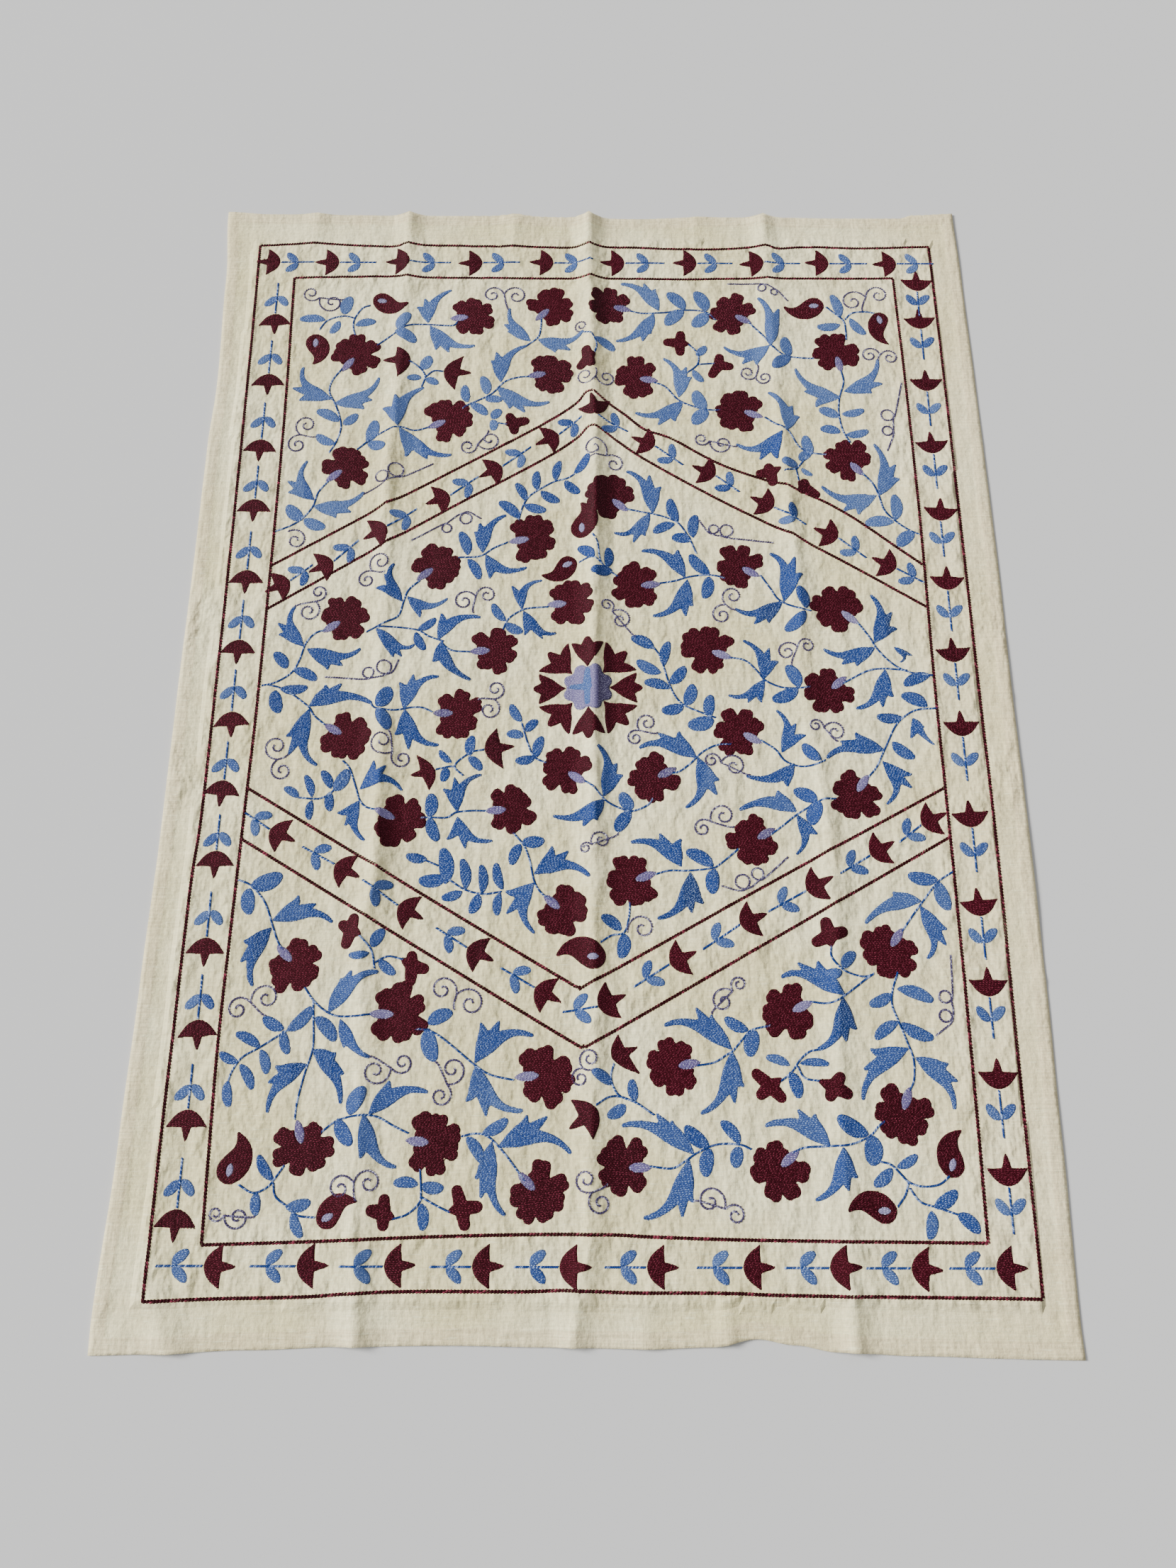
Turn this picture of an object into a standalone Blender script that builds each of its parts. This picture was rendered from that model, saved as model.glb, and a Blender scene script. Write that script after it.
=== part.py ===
"""An embroidered cotton suzani, laid out face up on a floor.

The cloth is one hemmed panel. It was stored folded in four, and the ridges of those folds
still stand up from the floor. Metres, +Z up, origin on the floor at the middle of the cloth,
+X to the right of the embroidery and +Y towards its upper end.
"""

from collections import namedtuple

import bpy

CLOTH_WIDTH = 1.461
CLOTH_LENGTH = 2.083
CLOTH_THICKNESS = 0.0014
HEM_THICKNESS = 0.0022
SIDE_HEM_WIDTH = 0.020
END_HEM_WIDTH = 0.022
HEM_STEP = 0.003

COTTON_COLOUR = (0.72, 0.66, 0.50, 1.0)
COTTON_ROUGHNESS = 0.9

# How far apart the rows of points are along the cloth, and the columns between its folds.
ROW_SPACING = 0.062
COLUMN_SPACING = 0.075
# Columns beside the crest of a long fold and of a short one, as shares of its half width.
LONG_FOLD_OFFSETS = (-1.0, -0.5, -0.18, 0.0, 0.18, 0.5, 1.0)
SHORT_FOLD_OFFSETS = (-0.6, 0.0, 0.6)
LONG_FOLD_HALF_WIDTH = 0.040
RIDGE_SHARPNESS = 1.7

# The side edges: at this height up the cloth, how far each edge lies inside the full width.
SideEdge = namedtuple("SideEdge", "y left_in right_in")
SIDE_EDGES = (
    SideEdge(1.040, 0.003, 0.010),
    SideEdge(0.875, 0.014, 0.006),
    SideEdge(0.625, 0.021, 0.003),
    SideEdge(0.500, 0.017, 0.002),
    SideEdge(0.250, 0.017, 0.000),
    SideEdge(0.000, 0.016, 0.002),
    SideEdge(-0.250, 0.016, 0.001),
    SideEdge(-0.500, 0.012, 0.002),
    SideEdge(-0.750, 0.008, 0.006),
    SideEdge(-1.000, 0.000, 0.010),
    SideEdge(-1.040, 0.001, 0.009),
)

# The two ends: at this place across the cloth, how far each end lies inside the full length.
EndEdge = namedtuple("EndEdge", "x top_in bottom_in")
END_EDGES = (
    EndEdge(-0.730, 0.000, 0.002),
    EndEdge(-0.640, 0.006, 0.004),
    EndEdge(-0.500, 0.008, 0.010),
    EndEdge(-0.350, 0.009, 0.015),
    EndEdge(-0.200, 0.009, 0.017),
    EndEdge(-0.060, 0.012, 0.015),
    EndEdge(0.090, 0.016, 0.013),
    EndEdge(0.180, 0.013, 0.016),
    EndEdge(0.245, 0.011, 0.027),
    EndEdge(0.300, 0.011, 0.019),
    EndEdge(0.360, 0.011, 0.010),
    EndEdge(0.480, 0.013, 0.005),
    EndEdge(0.615, 0.013, 0.002),
    EndEdge(0.640, 0.005, 0.001),
    EndEdge(0.730, 0.001, 0.000),
)

# A fold's ridge: at this height up the cloth, where its crest lies and how high it stands.
Crest = namedtuple("Crest", "y x height")
LONG_FOLDS = {
    "left": (
        Crest(1.040, -0.363, 0.013),
        Crest(0.930, -0.362, 0.008),
        Crest(0.750, -0.362, 0.005),
        Crest(0.560, -0.368, 0.008),
        Crest(0.430, -0.376, 0.011),
        Crest(0.240, -0.366, 0.006),
        Crest(0.050, -0.366, 0.004),
        Crest(-0.140, -0.356, 0.011),
        Crest(-0.300, -0.352, 0.014),
        Crest(-0.440, -0.368, 0.008),
        Crest(-0.600, -0.354, 0.006),
        Crest(-0.820, -0.356, 0.004),
        Crest(-0.940, -0.347, 0.008),
        Crest(-1.040, -0.342, 0.014),
    ),
    "centre": (
        Crest(1.040, -0.006, 0.018),
        Crest(0.820, -0.002, 0.013),
        Crest(0.450, 0.008, 0.014),
        Crest(0.000, 0.006, 0.013),
        Crest(-0.300, 0.006, 0.011),
        Crest(-0.600, 0.008, 0.008),
        Crest(-0.850, 0.000, 0.008),
        Crest(-1.040, -0.024, 0.011),
    ),
    "right": (
        Crest(1.040, 0.340, 0.012),
        Crest(0.900, 0.344, 0.005),
        Crest(0.650, 0.350, 0.006),
        Crest(0.430, 0.359, 0.010),
        Crest(0.200, 0.370, 0.008),
        Crest(0.000, 0.370, 0.004),
        Crest(-0.180, 0.392, 0.008),
        Crest(-0.360, 0.400, 0.009),
        Crest(-0.540, 0.394, 0.006),
        Crest(-0.720, 0.389, 0.005),
        Crest(-0.900, 0.388, 0.006),
        Crest(-1.040, 0.388, 0.013),
    ),
}

# Short ripples: the two ends of the crest, its greatest height and its half width.
Ripple = namedtuple("Ripple", "x0 y0 height0 x1 y1 height1 half_width")
RIPPLES = (
    Ripple(-0.548, 1.040, 0.007, -0.552, 0.900, 0.0, 0.050),
    Ripple(-0.152, 1.040, 0.008, -0.156, 0.880, 0.0, 0.050),
    Ripple(0.210, 1.040, 0.004, 0.206, 0.940, 0.0, 0.050),
    Ripple(0.200, -0.320, 0.003, 0.274, -0.460, 0.006, 0.036),
    Ripple(-0.610, -1.040, 0.010, -0.690, -0.850, 0.0, 0.050),
    Ripple(0.205, -1.040, 0.008, 0.200, -0.900, 0.0, 0.030),
    Ripple(0.085, -1.040, 0.005, 0.080, -0.900, 0.0, 0.036),
)
RIPPLE_COLUMNS = (-0.652, -0.550, -0.154, 0.083, 0.205, 0.270)


def between(rows, at, column, key="y"):
    """The smoothly eased value of a table's column at a place along the table's key."""
    rows = sorted(rows, key=lambda row: getattr(row, key))
    if at <= getattr(rows[0], key):
        return getattr(rows[0], column)
    for low, high in zip(rows, rows[1:]):
        start, end = getattr(low, key), getattr(high, key)
        if at <= end:
            share = (at - start) / (end - start)
            share = share * share * (3.0 - 2.0 * share)
            return getattr(low, column) * (1.0 - share) + getattr(high, column) * share
    return getattr(rows[-1], column)


def ridge(distance, half_width):
    """A fold's profile: 1 at its sharp crest, easing to 0 where the cloth is back on the floor."""
    share = abs(distance) / half_width
    return (1.0 - share) ** RIDGE_SHARPNESS if share < 1.0 else 0.0


def ripple_height(x, y, ripple):
    """How far a short ripple lifts the cloth at a point."""
    along_x, along_y = ripple.x1 - ripple.x0, ripple.y1 - ripple.y0
    length = (along_x**2 + along_y**2) ** 0.5
    along = ((x - ripple.x0) * along_x + (y - ripple.y0) * along_y) / length
    aside = ((x - ripple.x0) * along_y - (y - ripple.y0) * along_x) / length
    share = min(max(along / length, 0.0), 1.0)
    past_end = max(-along, along - length, 0.0)
    crest = ripple.height0 * (1.0 - share) + ripple.height1 * share
    return crest * ridge(aside, ripple.half_width) * ridge(past_end, ripple.half_width)


def lift(x, y):
    """How far the cloth's underside stands off the floor at a point."""
    height = 0.0
    for crests in LONG_FOLDS.values():
        aside = x - between(crests, y, "x")
        height = max(height, between(crests, y, "height") * ridge(aside, LONG_FOLD_HALF_WIDTH))
    for ripple in RIPPLES:
        height = max(height, ripple_height(x, y, ripple))
    return height


def column_places(y):
    """Where the columns of points cross a row at this height, from the left edge to the right.

    The columns follow the crests of the long folds, so each crest is a clean line of edges.
    """
    left = -CLOTH_WIDTH / 2 + between(SIDE_EDGES, y, "left_in")
    right = CLOTH_WIDTH / 2 - between(SIDE_EDGES, y, "right_in")
    crests = [between(fold, y, "x") for fold in LONG_FOLDS.values()]
    mean_crests = [sum(crest.x for crest in fold) / len(fold) for fold in LONG_FOLDS.values()]

    fixed = [-CLOTH_WIDTH / 2 + SIDE_HEM_WIDTH + HEM_STEP]
    moved = [left + SIDE_HEM_WIDTH + HEM_STEP]
    for mean, crest in zip(mean_crests, crests):
        for offset in LONG_FOLD_OFFSETS:
            fixed.append(mean + offset * LONG_FOLD_HALF_WIDTH)
            moved.append(crest + offset * LONG_FOLD_HALF_WIDTH)
    fixed.append(CLOTH_WIDTH / 2 - SIDE_HEM_WIDTH - HEM_STEP)
    moved.append(right - SIDE_HEM_WIDTH - HEM_STEP)

    places = [left, left + SIDE_HEM_WIDTH]
    gaps = list(zip(fixed, fixed[1:], moved, moved[1:]))
    for fixed_low, fixed_high, moved_low, moved_high in gaps:
        places.append(moved_low)
        wanted = [
            column + offset * COLUMN_SPACING / 2
            for column in RIPPLE_COLUMNS
            for offset in SHORT_FOLD_OFFSETS
        ]
        count = int((fixed_high - fixed_low) / COLUMN_SPACING)
        wanted += [
            fixed_low + (fixed_high - fixed_low) * step / (count + 1)
            for step in range(1, count + 1)
        ]
        for column in thinned(sorted(wanted), fixed_low, fixed_high):
            share = (column - fixed_low) / (fixed_high - fixed_low)
            places.append(moved_low + (moved_high - moved_low) * share)
    places += [moved[-1], right - SIDE_HEM_WIDTH, right]
    return places


def thinned(columns, low, high):
    """The columns that lie clear of both ends of a gap and of each other."""
    clearance = COLUMN_SPACING / 4
    kept = []
    for column in columns:
        last = kept[-1] if kept else low
        if column - last > clearance and high - column > clearance:
            kept.append(column)
    return kept


def row_shares():
    """Places of the rows along the cloth, from 0 at the lower end to 1 at the upper end."""
    hem = END_HEM_WIDTH / CLOTH_LENGTH
    step = HEM_STEP / CLOTH_LENGTH
    field = 1.0 - 2.0 * (hem + step)
    count = round(field * CLOTH_LENGTH / ROW_SPACING)
    inner = [hem + step + field * row / count for row in range(count + 1)]
    return [0.0, hem, *inner, 1.0 - hem, 1.0]


def cotton():
    """The natural cotton of the ground cloth."""
    material = bpy.data.materials.new("natural_cotton")
    material.use_nodes = True
    shader = material.node_tree.nodes["Principled BSDF"]
    shader.inputs["Base Color"].default_value = COTTON_COLOUR
    shader.inputs["Roughness"].default_value = COTTON_ROUGHNESS
    shader.inputs["Metallic"].default_value = 0.0
    return material


def ground_cloth(collection):
    """The hemmed cotton panel: a grid laid to its outline and folds, then given its thickness."""
    rows = row_shares()
    columns = len(column_places(0.0))
    bpy.ops.mesh.primitive_grid_add(
        x_subdivisions=columns - 1, y_subdivisions=len(rows) - 1, size=1.0
    )
    cloth = bpy.context.object
    cloth.name = cloth.data.name = "ground_cloth"
    for other in list(cloth.users_collection):
        other.objects.unlink(cloth)
    collection.objects.link(cloth)

    double = cloth.vertex_groups.new(name="double_cloth")
    single_share = CLOTH_THICKNESS / HEM_THICKNESS
    for row, share in enumerate(rows):
        row_y = CLOTH_LENGTH * (share - 0.5)
        end_rows = row in (0, 1, len(rows) - 2, len(rows) - 1)
        for column, x in enumerate(column_places(row_y)):
            bottom = -CLOTH_LENGTH / 2 + between(END_EDGES, x, "bottom_in", key="x")
            top = CLOTH_LENGTH / 2 - between(END_EDGES, x, "top_in", key="x")
            y = bottom + (top - bottom) * share
            point = row * columns + column
            cloth.data.vertices[point].co = (x, y, lift(x, y))
            side_columns = column in (0, 1, columns - 2, columns - 1)
            weight = 1.0 if end_rows or side_columns else single_share
            double.add([point], weight, "REPLACE")

    body = cloth.modifiers.new("cloth_thickness", "SOLIDIFY")
    body.thickness = HEM_THICKNESS
    body.offset = 1.0
    body.vertex_group = double.name
    cloth.data.materials.append(cotton())
    return cloth


def main():
    for thing in list(bpy.data.objects):
        bpy.data.objects.remove(thing)
    collection = bpy.data.collections.new("suzani")
    bpy.context.scene.collection.children.link(collection)
    ground_cloth(collection)


main()
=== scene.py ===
"""Dresses a hemmed cotton suzani with its folds, its couched embroidery and its chain stitch.

The embroidery's places are charted in millimetres from the middle of the cloth, x to the right
and y towards the upper end. Meshes are made in metres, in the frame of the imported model.
"""

import math
from collections import namedtuple

import bpy
import numpy as np
from bpy.props import FloatProperty, FloatVectorProperty, PointerProperty
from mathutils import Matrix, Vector


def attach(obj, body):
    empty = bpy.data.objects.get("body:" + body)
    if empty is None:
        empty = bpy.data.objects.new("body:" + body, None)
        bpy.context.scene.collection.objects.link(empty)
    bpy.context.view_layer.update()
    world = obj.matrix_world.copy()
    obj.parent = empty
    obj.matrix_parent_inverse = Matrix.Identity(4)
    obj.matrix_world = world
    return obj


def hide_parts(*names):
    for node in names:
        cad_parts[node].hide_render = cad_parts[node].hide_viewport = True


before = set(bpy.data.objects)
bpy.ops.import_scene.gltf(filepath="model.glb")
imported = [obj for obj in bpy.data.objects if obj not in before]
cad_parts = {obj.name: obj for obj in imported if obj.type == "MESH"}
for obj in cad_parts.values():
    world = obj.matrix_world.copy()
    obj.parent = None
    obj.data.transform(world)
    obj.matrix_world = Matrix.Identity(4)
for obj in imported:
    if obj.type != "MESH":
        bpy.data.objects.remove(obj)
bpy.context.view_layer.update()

bl_info = {
    "name": "Suzani maker",
    "version": (1, 0, 0),
    "blender": (4, 5, 0),
    "location": "View3D > Sidebar > Suzani",
    "description": "Lays out an embroidered cotton suzani stitch by stitch",
    "category": "Object",
}

MM = 0.001

# The ground cloth, in metres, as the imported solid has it.
CLOTH_WIDTH = 1.461
CLOTH_LENGTH = 2.083
CLOTH_THICKNESS = 0.0014
HEM_THICKNESS = 0.0022
SIDE_HEM_WIDTH = 0.020
END_HEM_WIDTH = 0.022
HEM_STEP = 0.003
LONG_FOLD_HALF_WIDTH = 0.040
RIDGE_SHARPNESS = 1.7
COLUMN_SPACING = 0.0070
ROW_SPACING = 0.0120

# The laid yarn, in millimetres: its mesh's spacing, how far it stands off the cloth, the width
# of its rounded edge, how far the edge tucks in, and how far it runs under a motif laid over it.
PATCH_SPACING = 2.9
LAID_HEIGHT = 0.6
LAID_EDGE = 1.8
LAID_TUCK = 0.2
CUT_OVERLAP = 1.3

# The couching stitches: their width as a share of the rows' pitch, their length as a share of
# the distance from one to the next, their slant to the rows in degrees, the shortest that is
# sewn and the bare ends of a row in millimetres, and their tone, which sets their painted highlight.
COUCHING_WIDTH = 0.66
COUCHING_LENGTH = 0.86
COUCHING_SLANT = 24.0
SHORTEST_COUCHING = 1.8
ROW_END = 0.9
COUCHING_TONE = 0.62

# All stitches, in millimetres: how deep their feet are sunk, and how high line stitches stand.
SUNK = 0.3
LINE_HEIGHT = 1.1
# The laid yarn's tone is too low for a painted highlight on its crest, so it takes painted glints.
LAID_TONE = 0.35

# The side edges: at this height up the cloth, how far each edge lies inside the full width.
SideEdge = namedtuple("SideEdge", "y left_in right_in")
SIDE_EDGES = (
    SideEdge(1.040, 0.003, 0.010),
    SideEdge(0.875, 0.014, 0.006),
    SideEdge(0.625, 0.021, 0.003),
    SideEdge(0.500, 0.017, 0.002),
    SideEdge(0.250, 0.017, 0.000),
    SideEdge(0.000, 0.016, 0.002),
    SideEdge(-0.250, 0.016, 0.001),
    SideEdge(-0.500, 0.012, 0.002),
    SideEdge(-0.750, 0.008, 0.006),
    SideEdge(-1.000, 0.000, 0.010),
    SideEdge(-1.040, 0.001, 0.009),
)

# The two ends: at this place across the cloth, how far each end lies inside the full length.
EndEdge = namedtuple("EndEdge", "x top_in bottom_in")
END_EDGES = (
    EndEdge(-0.730, 0.000, 0.002),
    EndEdge(-0.640, 0.006, 0.004),
    EndEdge(-0.500, 0.008, 0.010),
    EndEdge(-0.350, 0.009, 0.015),
    EndEdge(-0.200, 0.009, 0.017),
    EndEdge(-0.060, 0.012, 0.015),
    EndEdge(0.090, 0.016, 0.013),
    EndEdge(0.180, 0.013, 0.016),
    EndEdge(0.245, 0.011, 0.027),
    EndEdge(0.300, 0.011, 0.019),
    EndEdge(0.360, 0.011, 0.010),
    EndEdge(0.480, 0.013, 0.005),
    EndEdge(0.615, 0.013, 0.002),
    EndEdge(0.640, 0.005, 0.001),
    EndEdge(0.730, 0.001, 0.000),
)

# A fold's ridge: at this height up the cloth, where its crest lies and how high it stands.
Crest = namedtuple("Crest", "y x height")
LONG_FOLDS = {
    "left": (
        Crest(1.040, -0.363, 0.013),
        Crest(0.930, -0.362, 0.008),
        Crest(0.750, -0.362, 0.005),
        Crest(0.560, -0.368, 0.008),
        Crest(0.430, -0.376, 0.011),
        Crest(0.240, -0.366, 0.006),
        Crest(0.050, -0.366, 0.004),
        Crest(-0.140, -0.356, 0.011),
        Crest(-0.300, -0.352, 0.014),
        Crest(-0.440, -0.368, 0.008),
        Crest(-0.600, -0.354, 0.006),
        Crest(-0.820, -0.356, 0.004),
        Crest(-0.940, -0.347, 0.008),
        Crest(-1.040, -0.342, 0.014),
    ),
    "centre": (
        Crest(1.040, -0.006, 0.018),
        Crest(0.820, -0.002, 0.013),
        Crest(0.450, 0.008, 0.014),
        Crest(0.000, 0.006, 0.013),
        Crest(-0.300, 0.006, 0.011),
        Crest(-0.600, 0.008, 0.008),
        Crest(-0.850, 0.000, 0.008),
        Crest(-1.040, -0.024, 0.011),
    ),
    "right": (
        Crest(1.040, 0.340, 0.012),
        Crest(0.900, 0.344, 0.005),
        Crest(0.650, 0.350, 0.006),
        Crest(0.430, 0.359, 0.010),
        Crest(0.200, 0.370, 0.008),
        Crest(0.000, 0.370, 0.004),
        Crest(-0.180, 0.392, 0.008),
        Crest(-0.360, 0.400, 0.009),
        Crest(-0.540, 0.394, 0.006),
        Crest(-0.720, 0.389, 0.005),
        Crest(-0.900, 0.388, 0.006),
        Crest(-1.040, 0.388, 0.013),
    ),
}

# Short ripples: the two ends of the crest, its greatest height and its half width.
Ripple = namedtuple("Ripple", "x0 y0 height0 x1 y1 height1 half_width")
RIPPLES = (
    Ripple(-0.548, 1.040, 0.007, -0.552, 0.900, 0.0, 0.050),
    Ripple(-0.152, 1.040, 0.008, -0.156, 0.880, 0.0, 0.050),
    Ripple(0.210, 1.040, 0.004, 0.206, 0.940, 0.0, 0.050),
    Ripple(0.200, -0.320, 0.003, 0.274, -0.460, 0.006, 0.036),
    Ripple(-0.610, -1.040, 0.010, -0.690, -0.850, 0.0, 0.050),
    Ripple(0.205, -1.040, 0.008, 0.200, -0.900, 0.0, 0.030),
    Ripple(0.085, -1.040, 0.005, 0.080, -0.900, 0.0, 0.036),
)

# Faint creases from folding across the cloth: how far up, and how high they stand.
CROSS_CREASES = ((0.506, 0.0011), (0.0, 0.0012), (-0.490, 0.0010))
CROSS_CREASE_WIDTH = 0.007

# Random draws start from these, so that each run is the same.
SEED = 1960

# Flowers: the centre, the direction in which the stem leaves, in degrees, and the radius.
Flower = namedtuple("Flower", "x y stem radius")
FLOWERS = [Flower(*row) for row in (
    (-450, 698, 235, 47), (-232, 788, 185, 45), (-78, 812, 225, 47), (36, 815, 345, 45),
    (272, 797, 330, 46), (468, 706, 280, 46), (-80, 660, 190, 46), (85, 650, 350, 45),
    (-267, 556, 205, 47), (280, 578, 340, 48), (-455, 450, 220, 47), (475, 470, 310, 45),
    (33, 390, 320, 48), (-105, 305, 190, 48), (-278, 248, 220, 47), (265, 250, 330, 45),
    (82, 210, 5, 46), (-37, 175, 185, 44), (438, 165, 320, 48), (-437, 142, 215, 46),
    (-170, 84, 185, 45), (205, 85, 340, 48), (412, 8, 40, 45), (-230, -35, 180, 45),
    (255, -67, 330, 46), (-420, -77, 150, 45), (-43, -138, 325, 44), (107, -152, 25, 46),
    (445, -180, 55, 46), (-135, -207, 185, 44), (-320, -228, 155, 47), (272, -260, 30, 44),
    (68, -330, 20, 46), (-45, -380, 140, 44), (482, -442, 55, 46), (-475, -468, 135, 46),
    (315, -543, 25, 46), (-303, -547, 180, 50), (-72, -640, 185, 49), (132, -627, 10, 45),
    (483, -697, 70, 46), (-240, -742, 175, 46), (-440, -750, 105, 46), (53, -777, 0, 45),
    (287, -779, 40, 47), (-78, -815, 135, 47),
)]

# Lobed leaves: the base, the tip, and the tips of the side lobes.
LOBED_LEAVES = (
    ((-316, 775), (-277, 851), (-340, 810), (-325, 832)),
    ((-312, 768), (-227, 720), (-300, 712), (-273, 706)),
    ((-362, 540), (-321, 626), (-393, 578), (-370, 607)),
    ((-358, 535), (-262, 478), (-345, 475), (-303, 470)),
    ((-490, 600), (-551, 669), (-567, 625), (-552, 597)),
    ((-485, 590), (-403, 645), (-413, 598), (-427, 577)),
    ((-507, 383), (-528, 463), (-560, 423), (-557, 398)),
    ((-507, 370), (-418, 397), (-465, 345), (-437, 358)),
    ((-117, 733), (-160, 807), (-170, 772), (-163, 755)),
    ((-103, 737), (-18, 750), (-70, 706), (-40, 712)),
    ((-172, 640), (-128, 722), (-193, 688), (-183, 708)),
    ((130, 805), (60, 868), (125, 856), (102, 869)),
    ((120, 797), (50, 733), (115, 750), (98, 733)),
    ((165, 607), (140, 693), (181, 675), (191, 651)),
    ((172, 598), (85, 570), (125, 545), (158, 553)),
    ((-178, 629), (-82, 593), (-155, 580), (-125, 572)),
    ((342, 721), (326, 833), (363, 808), (363, 773)),
    ((340, 721), (255, 718), (287, 682), (316, 679)),
    ((478, 620), (547, 689), (552, 637), (530, 615)),
    ((470, 607), (388, 668), (402, 620), (423, 585)),
    ((527, 395), (528, 502), (563, 461), (569, 429)),
    ((522, 395), (425, 411), (460, 363), (488, 355)),
    ((365, 533), (337, 615), (378, 588), (392, 563)),
    ((355, 528), (272, 501), (312, 470), (345, 470)),
    ((-335, 178), (-355, 250), (-384, 203), (-369, 230)),
    ((-327, 188), (-256, 181), (-302, 145)),
    ((-503, 90), (-526, 166), (-553, 135), (-550, 112)),
    ((-497, 85), (-405, 83), (-458, 45), (-432, 53)),
    ((-378, 124), (-310, 92), (-330, 70), (-345, 68)),
    ((-268, 103), (-198, 148), (-265, 155)),
    ((-262, 100), (-212, 28), (-277, 61)),
    ((-485, -23), (-380, -15), (-460, 18), (-432, 20)),
    ((-322, -28), (-267, 34), (-333, 22), (-308, 38)),
    ((-195, 275), (-158, 352), (-213, 318), (-203, 337)),
    ((-190, 272), (-118, 243), (-182, 222)),
    ((168, 227), (94, 281), (157, 283)),
    ((172, 222), (113, 150), (182, 170), (168, 150)),
    ((112, 357), (68, 445), (129, 412), (107, 437)),
    ((107, 357), (44, 315), (76, 296), (98, 309)),
    ((343, 180), (325, 275), (365, 265), (378, 232)),
    ((340, 180), (257, 163), (288, 135), (315, 137)),
    ((497, 100), (500, 191), (533, 160), (540, 126)),
    ((497, 90), (409, 85), (437, 58), (464, 54)),
    ((512, 48), (460, -25), (503, -22), (523, -3)),
    ((-484, -28), (-467, -130), (-521, -78), (-514, -112)),
    ((300, 30), (270, 103), (313, 90), (329, 63)),
    ((302, 30), (240, -2), (270, -15), (296, -15)),
    ((-122, 162), (-90, 220), (-143, 210)),
    ((-120, 160), (-63, 115), (-118, 112), (-84, 105)),
    ((-320, -28), (-262, -94), (-335, -75), (-310, -102)),
    ((-388, -173), (-318, -172), (-367, -123), (-345, -132)),
    ((-388, -193), (-377, -262), (-425, -214), (-410, -238)),
    ((-223, -212), (-187, -146), (-250, -172), (-230, -150)),
    ((-222, -220), (-165, -263), (-240, -260), (-207, -277)),
    ((-92, -318), (-3, -320), (-64, -270), (-36, -279)),
    ((-92, -333), (-93, -415), (-140, -347), (-137, -385)),
    ((22, -185), (15, -97), (45, -125), (56, -147)),
    ((22, -192), (-60, -220), (-12, -238), (12, -229)),
    ((180, -115), (85, -95), (115, -70), (152, -67)),
    ((182, -115), (163, -203), (218, -155), (213, -182)),
    ((345, -125), (266, -149), (333, -167)),
    ((150, -305), (70, -262), (115, -248), (152, -258)),
    ((165, -315), (113, -392), (186, -367), (166, -383)),
    ((325, -105), (322, -29), (352, -52), (368, -75)),
    ((500, -100), (402, -113), (453, -68), (425, -85)),
    ((495, -120), (500, -195), (545, -143), (543, -168)),
    ((345, -210), (252, -205), (315, -172)),
    ((345, -215), (343, -283), (378, -250)),
    ((540, -362), (448, -396), (495, -346)),
    ((-515, -397), (-420, -397), (-477, -355), (-447, -369)),
    ((-517, -410), (-541, -501), (-560, -430), (-562, -465)),
    ((-415, -545), (-342, -479), (-398, -490), (-382, -478)),
    ((-395, -555), (-346, -614), (-387, -600)),
    ((-435, -603), (-385, -681), (-398, -606), (-383, -640)),
    ((-443, -625), (-499, -695), (-492, -627), (-502, -653)),
    ((-340, -700), (-254, -665), (-312, -649)),
    ((-180, -622), (-92, -578), (-173, -560), (-143, -557)),
    ((-178, -625), (-107, -695), (-193, -680), (-160, -703)),
    ((223, -600), (120, -561), (168, -535), (193, -546)),
    ((223, -603), (175, -697), (241, -656), (225, -682)),
    ((160, -757), (52, -714), (103, -697), (127, -707)),
    ((538, -370), (545, -455), (579, -408), (575, -435)),
    ((405, -515), (308, -484), (333, -463), (366, -460)),
    ((402, -520), (360, -600), (422, -568), (403, -588)),
    ((500, -598), (423, -673), (440, -598), (427, -630)),
    ((510, -612), (565, -687), (561, -620), (573, -648)),
    ((368, -745), (273, -713), (322, -690), (349, -697)),
    ((-348, -700), (-298, -778), (-350, -765)),
    ((-140, -748), (-30, -753), (-97, -700), (-65, -702)),
    ((-150, -740), (-130, -845), (-175, -793), (-165, -822)),
    ((152, -765), (85, -850), (158, -827), (140, -848)),
    ((388, -747), (345, -823), (408, -790), (392, -810)),
    ((530, 92), (540, 62), (565, 75)),
    ((553, -42), (585, -90), (545, -80), (573, -57)),
)

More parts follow.
